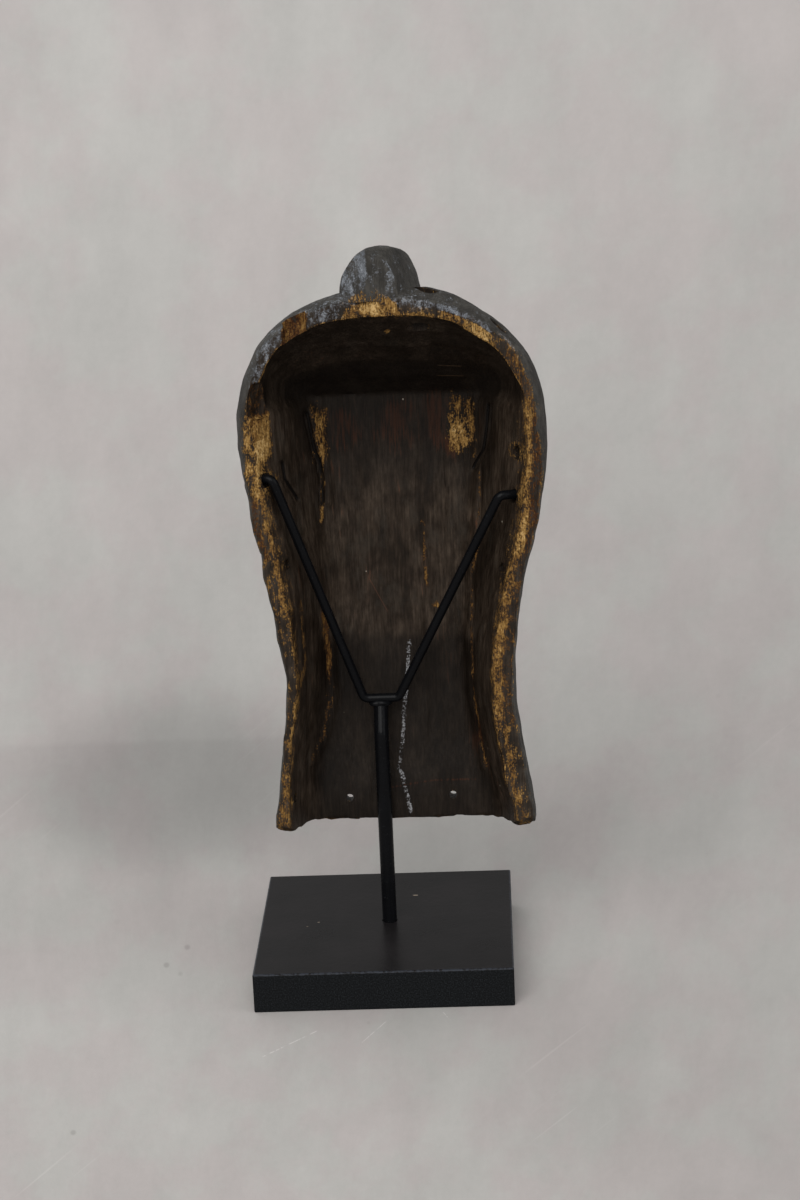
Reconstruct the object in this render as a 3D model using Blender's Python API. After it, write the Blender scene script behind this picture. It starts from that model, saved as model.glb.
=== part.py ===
"""Carved wooden face mask, open at the back, hung by two rim holes on a wire cradle.

The cradle is a bent steel wire welded to a rod, and the rod stands in a square board.
Axes: +Z up, the face looks along -Y and the open back along +Y, in metres.
The origin is on the floor under the middle of the board.
"""
import math

import bmesh
import bpy
import numpy as np
from mathutils import Vector

# Board that everything stands on.
BASE_SIDE = 0.140
BASE_THICK = 0.022
BASE_EDGE = 0.0008

# Rod: a spigot in the board, a straight shank, and a short lean toward the face wall.
ROD_DIAMETER = 0.008
ROD_SPIGOT = 0.012
ROD_SIDE = -0.0018
ROD_STRAIGHT = 0.110
ROD_LEAN_RISE = 0.013
ROD_LEAN = 0.008
CLEARANCE = 0.0003

# Wire cradle: a short flat foot on the rod and two arms that end in hooks.
WIRE_DIAMETER = 0.005
FOOT_LEFT = 0.0090
FOOT_RIGHT = 0.0100
LEFT_REACH = 0.0038
RIGHT_REACH = 0.0085
HOOK_RUN_IN = 0.009
WIRE_BEND = 0.0042

# Mask: overall height of the shell, its walls, and the places of its own axes.
MASK_HEIGHT = 0.295
RIM_WIDTH = 0.0090
CROWN_RIM = 0.0136
FACE_WALL = 0.0130
MASK_SIDE_OFFSET = -0.0143
MASK_BACK_OFFSET = 0.0222
MASK_RAISE = 0.272
MASK_TILT = math.radians(5.0)
MASK_YAW = math.radians(-0.9)

# Holes through the mask.
HOOK_HOLE = 0.0074
TIE_HOLE = 0.0050
WIDE_TIE_HOLE = 0.0080
CHIN_HOLE = 0.0044
SLOT_LENGTH = 0.0125
SLOT_WIDTH = 0.0060
SLOT_DEPTH = 0.0105
SLOT_LEAN = 0.10

# Where they are: share of the mask's height, depth in metres and, for a tie, its diameter.
LEFT_HOOK = (0.032, 0.0054)
RIGHT_HOOK = (-0.012, 0.0110)
LEFT_TIES = ((-0.127, 0.010, TIE_HOLE), (-0.564, 0.012, TIE_HOLE))
RIGHT_TIES = ((0.063, 0.012, WIDE_TIE_HOLE), (-0.145, 0.012, TIE_HOLE))
CHIN_TIES = ((0.0323, -0.597), (-0.0249, -0.596))
CROWN_SLOTS = ((-0.021, math.radians(-14)), (-0.058, math.radians(-42)))

# How far each cutter reaches back and forth from the surface that it cuts.
SIDE_CUTTER = (0.010, 0.045)
CHIN_CUTTER = (0.030, 0.010)
SLOT_CUTTER = (0.024, 0.020)

# Free form of the mask, all as shares of MASK_HEIGHT.
# Heights are measured along the mask from its rim centre, depths forward from the rim plane.
CHIN = -0.627
SPRING = 0.119
CROWN = 0.363
OUTLINE = ((CHIN, 0.2395), (-0.525, 0.2285), (-0.366, 0.2085), (-0.203, 0.2235), (-0.034, 0.2590),
           (SPRING, 0.2775))
OUTLINE_ARCH = 2.2
HOLLOW_ARCH = 2.6
RIM_SWELL = 0.16
RIM_SWELLS_FROM = -0.10
RIM_BEVEL = 0.0170
BEVEL_DEPTH = 0.060
BEVEL_LEAST = 0.20
BEVEL_FULL_ABOVE = 0.169
TIP_CORNER = 0.028
TIP_BAND = 0.070
HOLLOW_DEPTH = ((CHIN, 0.1480), (-0.580, 0.1500), (-0.475, 0.1680), (-0.271, 0.1865), (-0.041, 0.1966),
                (0.156, 0.2034))
SIDE_SLANT = ((CHIN, 0.235), (-0.356, 0.245), (-0.230, 0.285), (-0.100, 0.385), (0.130, 0.455),
              (0.170, 0.290), (0.240, 0.0))
OUTER_LEAN = 0.95
HOLLOW_SQUARE = ((CHIN, 8.0), (0.130, 8.0), (0.175, 5.0), (0.235, 2.8), (CROWN, 2.6))
OUTER_SQUARE = ((CHIN, 3.4), (-0.300, 3.4), (0.100, 2.9), (0.240, 2.3), (CROWN, 2.2))
FACE_RELIEF = ((CHIN, -0.006), (-0.520, 0.004), (-0.380, 0.010), (-0.100, 0.006), (0.055, 0.004),
               (0.115, 0.032))
CEILING_CREASE = 0.156
CREASE_ROUND = 0.012
CEILING_CURVE = 0.88
BROW = 0.115
FOREHEAD_CURVE = 1.85
HOLLOW_SHIFT = ((CHIN, 0.004), (-0.520, 0.0115), (-0.366, 0.0115), (-0.100, 0.0), (CROWN, 0.0))
TIP_ROUND = 0.016
CHIN_SAG = 0.009

# Carving on the face, as shares of MASK_HEIGHT.
CREST_WIDTH = ((0.0, 0.050), (0.25, 0.046), (0.60, 0.026), (1.0, 0.020))
CREST_HEIGHT = ((0.0, 0.069), (0.20, 0.069), (0.60, 0.046), (1.0, 0.034))
CREST_PROFILE = ((-1.0, -0.30), (-0.96, 0.25), (-0.72, 0.72), (-0.22, 1.0), (0.30, 0.92), (0.80, 0.62),
                 (1.0, 0.20), (1.0, -0.30))
CREST_OFFSET = 0.030
CREST_SETBACK = 0.003
CREST_FOOT = 0.105
CREST_STRAIGHTENS = 0.30
NOSE_ROOT = 0.122
NOSE_TIP = -0.150
NOSE_WIDTH = (0.020, 0.062)
NOSE_HEIGHT = (0.020, 0.092)
NOSE_FLARE = 1.4
NOSE_PROFILE = ((-1.0, -0.25), (-0.92, 0.22), (-0.42, 0.86), (0.0, 1.0), (0.42, 0.86), (0.92, 0.22),
                (1.0, -0.25))
EYE_SPREAD = 0.100
EYE_LEVEL = -0.010
EYE_SIZE = (0.066, 0.040, 0.032)
EYE_ROOT = 0.012
EYE_PINCH = 0.35
EYE_SLIT = (0.050, 0.0105, 0.026)
MOUTH_LEVEL = -0.330
MOUTH_SIZE = (0.100, 0.066, 0.092)
MOUTH_SQUARE = 3.4
MOUTH_PROFILE = ((-0.30, 0.96), (0.25, 0.90), (0.70, 0.88), (0.86, 1.0), (1.0, 0.97))
MOUTH_SLOT = (0.066, 0.022, 0.052)
MOUTH_SLOT_SPLAY = (0.90, 1.06)
MOUTH_SLOT_PAST = 0.02
GROOVES = 34
GROOVE_DEPTH = 0.0060
GROOVE_TURN = 0.20

# Where the face stays plain: along the rim, over the chin, at the crown, round the brow, eyes and mouth.
PLAIN_BAND = (0.16, 0.22)
PLAIN_CHIN = (0.05, 0.08)
PLAIN_CROWN = (0.004, 0.020)
PLAIN_BROW = (0.045, 0.060, 0.110, 0.130)
PLAIN_EYE = (0.060, 0.042)
PLAIN_MOUTH = (0.085, 0.060)
PLAIN_EDGE = (0.85, 1.15)

# Breaks in the rim on the wearer's left: a chipped facet, a pocket under the ceiling and a worn edge.
BREAKS = (((0.255, ((0.186, -0.01), (0.186, 0.019), (0.143, 0.005), (0.143, -0.01))),
           (0.345, ((0.178, -0.01), (0.178, 0.019), (0.140, 0.003), (0.140, -0.01)))),
          ((0.139, ((0.256, -0.01), (0.256, 0.020), (0.226, 0.052), (0.190, 0.046), (0.185, -0.01))),
           (0.207, ((0.247, -0.01), (0.247, 0.012), (0.224, 0.036), (0.195, 0.036), (0.190, -0.01)))),
          ((0.050, ((0.228, -0.01), (0.233, 0.002), (0.224, 0.006), (0.200, 0.006), (0.200, -0.01))),
           (0.146, ((0.254, -0.01), (0.254, 0.004), (0.222, 0.034), (0.200, 0.034), (0.200, -0.01)))))

# How finely the shell is faceted.
CREST_RINGS = 12
OUTER_ROWS = 23
ARCH_ROWS = 9
HOLLOW_COLUMNS = 22
HOLLOW_ROWS = 17
ROUND_SIDES = 28
WIRE_SIDES = 12
HOLE_SIDES = 12
CHIN_HOLE_SIDES = 10
MOUTH_SIDES = 20
NOSE_RINGS = 7
EYE_SEGMENTS = (14, 8)
BEND_STEPS = 5
PROFILE_STEPS = 721
HOLLOW_PULL = 0.25
SHARP_EDGE = math.radians(35)


def curve_through(stations, at):
    """Smooth curve through (place, value) stations, level at both ends."""
    places = np.array([s[0] for s in stations])
    values = np.array([s[1] for s in stations])
    slopes = np.zeros(len(places))
    slopes[1:-1] = (values[2:] - values[:-2]) / (places[2:] - places[:-2])
    at = np.clip(at, places[0], places[-1])
    i = np.clip(np.searchsorted(places, at, side="right") - 1, 0, len(places) - 2)
    span = places[i + 1] - places[i]
    t = (at - places[i]) / span
    held = (2 * t ** 3 - 3 * t ** 2 + 1) * values[i] + (3 * t ** 2 - 2 * t ** 3) * values[i + 1]
    return held + (t ** 3 - 2 * t ** 2 + t) * span * slopes[i] + (t ** 3 - t ** 2) * span * slopes[i + 1]


def smooth_step(value, low, high):
    """0 below low, 1 above high, with an even rise between them."""
    t = np.clip((value - low) / (high - low), 0.0, 1.0)
    return t * t * (3 - 2 * t)


def arch(height, spring, top, half_width, power):
    """Half width of a round arch at a height between its spring and its top."""
    rise = np.clip((height - spring) / (top - spring), 0.0, 1.0)
    return half_width * (1 - rise ** power) ** (1 / power)


def outline_half_width(height):
    """Half width of the rim's outer edge, as a share of the height."""
    sides = curve_through(OUTLINE, height)
    return np.where(height > SPRING, arch(height, SPRING, CROWN, OUTLINE[-1][1], OUTLINE_ARCH), sides)


def hollow_top():
    """Height of the hollow's highest point on the rim plane."""
    return CROWN - CROWN_RIM / MASK_HEIGHT


def hollow_half_width(height):
    """Half width of the rim's inner edge."""
    rim = RIM_WIDTH / MASK_HEIGHT * (1 + RIM_SWELL * smooth_step(height, RIM_SWELLS_FROM, SPRING))
    sides = curve_through(OUTLINE, height) - rim
    return np.where(height > SPRING,
                    arch(height, SPRING, hollow_top(), OUTLINE[-1][1] - rim, HOLLOW_ARCH), sides)


def hollow_depth(height):
    """Depth of the hollow on its middle line: the face wall, and above the crease the ceiling."""
    wall = curve_through(HOLLOW_DEPTH, height)
    left = np.clip((hollow_top() - height) / (hollow_top() - CEILING_CREASE), 0.0, None)
    ceiling = HOLLOW_DEPTH[-1][1] * left ** CEILING_CURVE
    return np.minimum(wall, ceiling)


def outer_depth(height):
    """Depth of the outer surface on its middle line, without the carved features."""
    wall = FACE_WALL / MASK_HEIGHT
    face = curve_through(HOLLOW_DEPTH, height) + wall + curve_through(FACE_RELIEF, height)
    brow_depth = HOLLOW_DEPTH[-1][1] + wall + FACE_RELIEF[-1][1]
    rise = np.clip((height - BROW) / (CROWN - BROW), 0.0, 1.0)
    forehead = brow_depth * (1 - rise ** FOREHEAD_CURVE) ** (1 / FOREHEAD_CURVE)
    return np.where(height > BROW, forehead, face)


def section(half_width, depth, slant, square, across, upright=0.0):
    """Points of one level section: a squared ellipse whose sides lean in beyond an upright stretch."""
    turn = across * math.pi / 2
    side = np.sign(turn) * np.abs(np.sin(turn)) ** (2 / square)
    deep = depth * np.abs(np.cos(turn)) ** (2 / square)
    return side * (half_width - slant * np.maximum(deep - upright, 0.0)), deep


def even_section(half_width, depth, slant, square, count, upright=0.0, pull=0.0):
    """The section's points at even steps of its own length, or drawn toward its parameter by pull."""
    fine = np.linspace(-1.0, 1.0, PROFILE_STEPS)
    x, d = section(half_width, depth, slant, square, fine, upright)
    run = np.concatenate([[0.0], np.cumsum(np.hypot(np.diff(x), np.diff(d)))])
    even = np.interp(np.linspace(0.0, run[-1], count), run, fine)
    across = (1 - pull) * even + pull * np.linspace(-1.0, 1.0, count)
    return section(half_width, depth, slant, square, across, upright)


def row_heights(top, rows, arch_rows):
    """Heights of the rows: even up the sides, then closing toward the top of the arch."""
    sides = np.linspace(CHIN, SPRING, rows, endpoint=False)
    turns = np.linspace(0.0, math.pi / 2, arch_rows, endpoint=False)
    return np.concatenate([sides, SPRING + (top - SPRING) * np.sin(turns)])


def trim_chin(x, d, z, half_width):
    """Round the lower tips of the rim and let the chin's edge sag a little in the middle."""
    low = smooth_step(-z, -(CHIN + TIP_BAND), -CHIN)
    tip = TIP_ROUND * np.clip(1 - d / TIP_ROUND, 0.0, 1.0) ** 2
    corner = TIP_CORNER * np.clip(1 - (half_width - np.abs(x)) / TIP_CORNER, 0.0, 1.0) ** 2
    sag = CHIN_SAG * np.clip(1 - (x / half_width) ** 2, 0.0, 1.0)
    return z + low * (tip + corner - sag)


def outer_rows():
    """Rows of the outer surface, chin first, each from one rim edge to the other, grooves included."""
    columns = 2 * GROOVES + 1
    share = np.linspace(-1.0, 1.0, columns)
    furrow = np.where(np.arange(columns) % 2 == 1, 1.0, 0.0)
    rows = []
    for height in row_heights(CROWN, OUTER_ROWS, ARCH_ROWS):
        slant = float(curve_through(SIDE_SLANT, height)) * OUTER_LEAN
        x, d = even_section(float(outline_half_width(height)), float(outer_depth(height)), slant,
                            float(curve_through(OUTER_SQUARE, height)), columns, BEVEL_DEPTH)
        z = np.full(columns, height)
        upward = np.maximum(height - SPRING, 0.0)
        away = np.maximum(np.hypot(x, upward), 1e-6)
        bevel = RIM_BEVEL * np.clip(1 - d / BEVEL_DEPTH, 0.0, 1.0) ** 2
        bevel *= BEVEL_LEAST + (1 - BEVEL_LEAST) * smooth_step(height, RIM_SWELLS_FROM, BEVEL_FULL_ABOVE)
        z = trim_chin(x, d, z, float(outline_half_width(CHIN)))
        x = x - bevel * x / away
        z = z - bevel * upward / away
        depth_of_cut = GROOVE_DEPTH * furrow * groove_field(x, height, share)
        sideways = np.clip(1 + GROOVE_TURN - d / GROOVE_TURN, GROOVE_TURN, 1.0)
        inward = np.stack([-x / away * sideways, -np.ones(columns)], -1)
        inward /= np.linalg.norm(inward, axis=1)[:, None]
        x = x + depth_of_cut * inward[:, 0]
        d = d + depth_of_cut * inward[:, 1]
        rows.append(np.stack([x, -d, z], -1) * MASK_HEIGHT)
    return rows


def groove_field(x, height, share):
    """Where the face is grooved: not on the band along the rim, nor round the eyes and the mouth."""
    field = smooth_step(1 - np.abs(share), *PLAIN_BAND)
    field *= smooth_step(height - CHIN, *PLAIN_CHIN)
    field *= smooth_step(CROWN - height, *PLAIN_CROWN)
    field *= 1 - smooth_step(height, *PLAIN_BROW[:2]) * (1 - smooth_step(height, *PLAIN_BROW[2:]))
    for middle_x, middle_z, (wide, high) in ((EYE_SPREAD, EYE_LEVEL, PLAIN_EYE),
                                             (-EYE_SPREAD, EYE_LEVEL, PLAIN_EYE),
                                             (0.0, MOUTH_LEVEL, PLAIN_MOUTH)):
        around = ((x - middle_x) / wide) ** 2 + ((height - middle_z) / high) ** 2
        field = field * smooth_step(around, *PLAIN_EDGE)
    return field


def hollow_rows():
    """Rows of the hollow's surface, chin first, each from one rim edge to the other."""
    rows = []
    heights = list(row_heights(hollow_top(), HOLLOW_ROWS, ARCH_ROWS))
    heights = sorted(heights + [CEILING_CREASE + CREASE_ROUND * side for side in (-1, 0, 1)])
    for height in heights:
        x, d = even_section(float(hollow_half_width(height)), float(hollow_depth(height)),
                            float(curve_through(SIDE_SLANT, height)),
                            float(curve_through(HOLLOW_SQUARE, height)), HOLLOW_COLUMNS + 1,
                            pull=HOLLOW_PULL)
        x = x + float(curve_through(HOLLOW_SHIFT, height))
        z = trim_chin(x, d, np.full(HOLLOW_COLUMNS + 1, height), float(outline_half_width(CHIN)))
        rows.append(np.stack([x, -d, z], -1) * MASK_HEIGHT)
    return rows


def lace(bm, first, second):
    """Fill between two runs of vertices of any counts with one strip of triangles."""
    def shares(run):
        steps = [0.0]
        for a, b in zip(run, run[1:]):
            steps.append(steps[-1] + (b.co - a.co).length)
        return [s / steps[-1] for s in steps]
    at_first, at_second = shares(first), shares(second)
    i = j = 0
    while i < len(first) - 1 or j < len(second) - 1:
        step_first = j == len(second) - 1 or (i < len(first) - 1 and at_first[i + 1] <= at_second[j + 1])
        if step_first:
            bm.faces.new((first[i], first[i + 1], second[j]))
            i += 1
        else:
            bm.faces.new((first[i], second[j + 1], second[j]))
            j += 1


def add_sheet(bm, rows, top):
    """Vertices and faces of one surface, closed by a fan at its top. Returns its rows and top vertex."""
    sheet = [[bm.verts.new(point) for point in row] for row in rows]
    peak = bm.verts.new(top)
    for low, high in zip(sheet, sheet[1:]):
        for i in range(len(low) - 1):
            bm.faces.new((low[i], low[i + 1], high[i + 1], high[i]))
    for a, b in zip(sheet[-1], sheet[-1][1:]):
        bm.faces.new((a, b, peak))
    return sheet, peak


def shell_mesh():
    """The mask's closed shell: outer surface, hollow, rim face and the cut edge at the chin."""
    bm = bmesh.new()
    outer, crown = add_sheet(bm, outer_rows(), (0.0, 0.0, CROWN * MASK_HEIGHT))
    inner, ceiling = add_sheet(bm, hollow_rows(), (0.0, 0.0, hollow_top() * MASK_HEIGHT))

    def rim(sheet, peak):
        return [row[0] for row in sheet] + [peak] + [row[-1] for row in reversed(sheet)]
    lace(bm, rim(outer, crown), rim(inner, ceiling))
    lace(bm, outer[0], inner[0])
    bmesh.ops.triangulate(bm, faces=bm.faces[:])
    bmesh.ops.recalc_face_normals(bm, faces=bm.faces[:])
    return mesh_from(bm, "mask")


def mesh_from(bm, name):
    """Turn a bmesh into a mesh whose faces point out."""
    if bm.calc_volume(signed=True) < 0:
        bmesh.ops.reverse_faces(bm, faces=bm.faces[:])
    mesh = bpy.data.meshes.new(name)
    bm.to_mesh(mesh)
    bm.free()
    return mesh


def loft(rings, name):
    """Closed solid through rings of equal counts, its two ends filled."""
    bm = bmesh.new()
    loops = [[bm.verts.new(point) for point in ring] for ring in rings]
    count = len(loops[0])
    for low, high in zip(loops, loops[1:]):
        for i in range(count):
            j = (i + 1) % count
            bm.faces.new((low[i], low[j], high[j], high[i]))
    bm.faces.new(loops[0])
    bm.faces.new(loops[-1])
    bmesh.ops.recalc_face_normals(bm, faces=bm.faces[:])
    return mesh_from(bm, name)


def crest_mesh():
    """Crest: a ridge from the rim's top over the forehead to the brow, with a faceted end at the back."""
    across = Vector((1.0, 0.0, 0.0))
    turns = np.linspace(0.0, math.pi / 2, CREST_RINGS)
    heights = CROWN - (CROWN - CREST_FOOT) * (1 - np.cos(turns))
    depths = outer_depth(heights)
    line = [Vector((0.0, -d, h)) for d, h in zip(depths, heights)]
    line[0].y = -CREST_SETBACK
    rings = []
    for i, point in enumerate(line):
        share = i / (len(line) - 1)
        run = (line[min(i + 1, len(line) - 1)] - line[max(i - 1, 0)]).normalized()
        up = run.cross(across).normalized() if i else Vector((0.0, 0.0, 1.0))
        offset = CREST_OFFSET * (1 - float(smooth_step(share, 0.0, CREST_STRAIGHTENS)))
        half = float(curve_through(CREST_WIDTH, share))
        high = float(curve_through(CREST_HEIGHT, share))
        middle = point + across * offset
        rings.append([(middle + across * side * half + up * rise * high) * MASK_HEIGHT
                      for side, rise in CREST_PROFILE])
    return loft(rings, "crest")


def face_point(x, height):
    """Point of the outer surface straight in front of a place on the rim plane."""
    depth = float(outer_depth(height))
    lean = OUTER_LEAN * float(curve_through(SIDE_SLANT, height))
    half = float(outline_half_width(height)) - lean * (depth - BEVEL_DEPTH)
    square = float(curve_through(OUTER_SQUARE, height))
    fall = (1 - min(abs(x) / max(half, 1e-6), 1.0) ** square) ** (1 / square)
    return Vector((x, -depth * fall, height))


def nose_mesh():
    """Nose: a narrow ridge under the brow that widens and rises to a flat-cut tip."""
    rings = []
    for share in np.linspace(0.0, 1.0, NOSE_RINGS):
        height = NOSE_ROOT + (NOSE_TIP - NOSE_ROOT) * share
        half = NOSE_WIDTH[0] + (NOSE_WIDTH[1] - NOSE_WIDTH[0]) * share ** NOSE_FLARE
        high = NOSE_HEIGHT[0] + (NOSE_HEIGHT[1] - NOSE_HEIGHT[0]) * share
        foot = face_point(0.0, height)
        rings.append([(foot + Vector((side * half, -rise * high, 0.0))) * MASK_HEIGHT
                      for side, rise in NOSE_PROFILE])
    return loft(rings, "nose")


def eye_mesh(side):
    """One raised eyelid, an almond dome set on the face."""
    middle = face_point(side * EYE_SPREAD, EYE_LEVEL)
    bm = bmesh.new()
    bmesh.ops.create_uvsphere(bm, u_segments=EYE_SEGMENTS[0], v_segments=EYE_SEGMENTS[1], radius=1.0)
    for vert in bm.verts:
        pinch = 1 - EYE_PINCH * vert.co.x ** 2
        deep = EYE_SIZE[2] if vert.co.y < 0 else EYE_ROOT
        vert.co = Vector((vert.co.x * EYE_SIZE[0], vert.co.y * deep, vert.co.z * EYE_SIZE[1] * pinch))
        vert.co = (vert.co + middle) * MASK_HEIGHT
    return mesh_from(bm, "eye")


def slit_mesh(side):
    """Cutter for the narrow slit across one eyelid."""
    middle = face_point(side * EYE_SPREAD, EYE_LEVEL)
    bm = bmesh.new()
    bmesh.ops.create_uvsphere(bm, u_segments=EYE_SEGMENTS[0], v_segments=EYE_SEGMENTS[1], radius=1.0)
    for vert in bm.verts:
        vert.co = Vector((vert.co.x * EYE_SLIT[0], vert.co.y * EYE_SLIT[2], vert.co.z * EYE_SLIT[1]))
        vert.co = (vert.co + middle + Vector((0.0, -EYE_SIZE[2], 0.0))) * MASK_HEIGHT
    return mesh_from(bm, "eye_slit")


def mouth_ring(wide, high, depth):
    """Ring of a squared oval at the mouth, in a plane that faces forward."""
    ring = []
    for k in range(MOUTH_SIDES):
        turn = 2 * math.pi * k / MOUTH_SIDES
        x = math.copysign(abs(math.cos(turn)) ** (2 / MOUTH_SQUARE), math.cos(turn)) * wide
        z = math.copysign(abs(math.sin(turn)) ** (2 / MOUTH_SQUARE), math.sin(turn)) * high
        ring.append(Vector((x, -depth, MOUTH_LEVEL + z)) * MASK_HEIGHT)
    return ring


def mouth_mesh():
    """Mouth: a squared tube that stands out from the face, its lips a little wider than its neck."""
    start = -face_point(0.0, MOUTH_LEVEL).y
    wide, high, reach = MOUTH_SIZE
    rings = [mouth_ring(wide * grow, high * grow, start + reach * out) for out, grow in MOUTH_PROFILE]
    return loft(rings, "mouth")


def mouth_slot_mesh():
    """Cutter for the mouth's blind slot."""
    start = -face_point(0.0, MOUTH_LEVEL).y
    wide, high, deep = MOUTH_SLOT
    front = start + MOUTH_SIZE[2]
    rings = [mouth_ring(wide * grow, high * grow, front + out)
             for out, grow in zip((-deep, MOUTH_SLOT_PAST), MOUTH_SLOT_SPLAY)]
    return loft(rings, "mouth_slot")


def hollow_wall(side, height, depth_m):
    """Point of the hollow's side wall at a share of height and a depth in metres."""
    deep = depth_m / MASK_HEIGHT
    half = float(hollow_half_width(height)) - float(curve_through(SIDE_SLANT, height)) * deep
    x = side * half + float(curve_through(HOLLOW_SHIFT, height))
    return Vector((x * MASK_HEIGHT, -depth_m, height * MASK_HEIGHT))


def rod_mesh(a, b, radius, sides, name):
    """Closed round bar from a to b."""
    axis = (b - a).normalized()
    across = axis.orthogonal().normalized()
    beside = axis.cross(across)
    rings = []
    for end in (a, b):
        rings.append([end + (across * math.cos(2 * math.pi * k / sides)
                             + beside * math.sin(2 * math.pi * k / sides)) * radius
                      for k in range(sides)])
    return loft(rings, name)


def side_hole(side, height, depth_m, diameter):
    """Cutter for a hole through one side wall, square to it."""
    middle = hollow_wall(side, height, depth_m)
    slant = float(curve_through(SIDE_SLANT, height))
    out = Vector((side, -slant, 0.0)).normalized()
    inside, outside = SIDE_CUTTER
    return rod_mesh(middle - out * inside, middle + out * outside, diameter / 2, HOLE_SIDES, "hole")


def chin_hole(x, height):
    """Cutter for a hole through the face wall near the chin's edge."""
    depth = float(outer_depth(height)) * MASK_HEIGHT
    z = height * MASK_HEIGHT
    inside, outside = CHIN_CUTTER
    return rod_mesh(Vector((x, -depth + inside, z)), Vector((x, -depth - outside, z)),
                    CHIN_HOLE / 2, CHIN_HOLE_SIDES, "hole")


def crown_slot(x, turn):
    """Cutter for an oblong slot from the dome's outside down into the hollow."""
    out = Vector((math.sin(turn), SLOT_LEAN, math.cos(turn))).normalized()
    along = Vector((math.cos(turn), 0.0, -math.sin(turn)))
    beside = out.cross(along)
    middle = Vector((x, -SLOT_DEPTH, rim_height(x)))
    rings = []
    turns = [2 * math.pi * k / HOLE_SIDES for k in range(HOLE_SIDES)]
    for reach in (-SLOT_CUTTER[0], SLOT_CUTTER[1]):
        rings.append([middle + out * reach + along * math.cos(turn) * SLOT_LENGTH / 2
                      + beside * math.sin(turn) * SLOT_WIDTH / 2 for turn in turns])
    return loft(rings, "slot")


def rim_height(x):
    """Height of the outline above a place across the dome."""
    rise = arch(abs(x) / (OUTLINE[-1][1] * MASK_HEIGHT), 0.0, 1.0, 1.0, OUTLINE_ARCH)
    return (SPRING + (CROWN - SPRING) * float(rise)) * MASK_HEIGHT


def break_mesh(low, high):
    """Cutter for a broken stretch of the rim: a prism between two outlines at two heights.

    Each outline is a height and its (across, depth) corners, all shares of MASK_HEIGHT.
    """
    rings = [[Vector((x, -d, height)) * MASK_HEIGHT for x, d in corners] for height, corners in (low, high)]
    return loft(rings, "break")


def material(name, colour, roughness, metallic=0.0):
    """Principled material of one plain finish."""
    made = bpy.data.materials.new(name)
    made.use_nodes = True
    shader = made.node_tree.nodes["Principled BSDF"]
    shader.inputs["Base Color"].default_value = (*colour, 1.0)
    shader.inputs["Roughness"].default_value = roughness
    shader.inputs["Metallic"].default_value = metallic
    return made


def place(mesh, name, finish=None, parent=None, smooth=True):
    """Object in the scene for a mesh, with its finish and parent."""
    thing = bpy.data.objects.new(name, mesh)
    bpy.context.scene.collection.objects.link(thing)
    thing.parent = parent
    if finish:
        mesh.materials.append(finish)
    if smooth:
        mesh.shade_smooth()
        mesh.set_sharp_from_angle(angle=SHARP_EDGE)
    return thing


def combine(target, mesh, name, operation, parent):
    """Join or cut target with a mesh, kept as a hidden guide."""
    guide = place(mesh, name, None, parent, smooth=False)
    guide.hide_render = True
    guide.display_type = "WIRE"
    step = target.modifiers.new(name, "BOOLEAN")
    step.operation = operation
    step.solver = "EXACT"
    step.object = guide


def build_mask(finish):
    """The mask and its guides under one empty at the rim's centre."""
    seat = bpy.data.objects.new("mask_seat", None)
    bpy.context.scene.collection.objects.link(seat)
    seat.location = (MASK_SIDE_OFFSET, MASK_BACK_OFFSET, MASK_RAISE)
    seat.rotation_euler = (MASK_TILT, 0.0, MASK_YAW)
    mask = place(shell_mesh(), "mask", finish, seat)
    combine(mask, crest_mesh(), "crest", "UNION", seat)
    combine(mask, nose_mesh(), "nose", "UNION", seat)
    for side, word in ((1, "left"), (-1, "right")):
        combine(mask, eye_mesh(side), "eyelid_" + word, "UNION", seat)
        combine(mask, slit_mesh(side), "eye_slit_" + word, "DIFFERENCE", seat)
    combine(mask, mouth_mesh(), "mouth", "UNION", seat)
    combine(mask, mouth_slot_mesh(), "mouth_slot", "DIFFERENCE", seat)
    for number, cutter in enumerate(hole_cutters()):
        combine(mask, cutter, "hole_%d" % (number + 1), "DIFFERENCE", seat)
    return seat


def hole_cutters():
    """Cutters for every hole: two for the hooks, then the ties, the chin and the dome's slots."""
    drop = (HOOK_HOLE - WIRE_DIAMETER) / 2 - CLEARANCE
    cutters = []
    for side, (height, depth_m) in ((1, LEFT_HOOK), (-1, RIGHT_HOOK)):
        cutters.append(side_hole(side, height - drop / MASK_HEIGHT, depth_m, HOOK_HOLE))
    for side, ties in ((1, LEFT_TIES), (-1, RIGHT_TIES)):
        cutters += [side_hole(side, *tie) for tie in ties]
    cutters += [chin_hole(x, height) for x, height in CHIN_TIES]
    cutters += [crown_slot(x, turn) for x, turn in CROWN_SLOTS]
    cutters += [break_mesh(low, high) for low, high in BREAKS]
    return cutters


def rounded_path(points, radius, steps):
    """Straight runs joined by arcs of about one radius at each corner."""
    path = [points[0]]
    for before, corner, after in zip(points, points[1:], points[2:]):
        into = (before - corner).normalized()
        out = (after - corner).normalized()
        half = into.angle(out) / 2
        back = min(radius / math.tan(half), 0.45 * (before - corner).length, 0.45 * (after - corner).length)
        start, end = corner + into * back, corner + out * back
        for k in range(steps + 1):
            t = k / steps
            path.append(start * (1 - t) ** 2 + corner * 2 * t * (1 - t) + end * t ** 2)
    path.append(points[-1])
    return path


def wire(points, radius, sides, name):
    """Round bar swept along a path without twisting, its ends filled."""
    rings = []
    across = None
    for i, point in enumerate(points):
        ahead = (points[min(i + 1, len(points) - 1)] - points[max(i - 1, 0)]).normalized()
        if across is None:
            across = ahead.orthogonal()
        across = (across - ahead * across.dot(ahead)).normalized()
        beside = ahead.cross(across)
        rings.append([point + (across * math.cos(2 * math.pi * k / sides)
                               + beside * math.sin(2 * math.pi * k / sides)) * radius
                      for k in range(sides)])
    return loft(rings, name)


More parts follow.
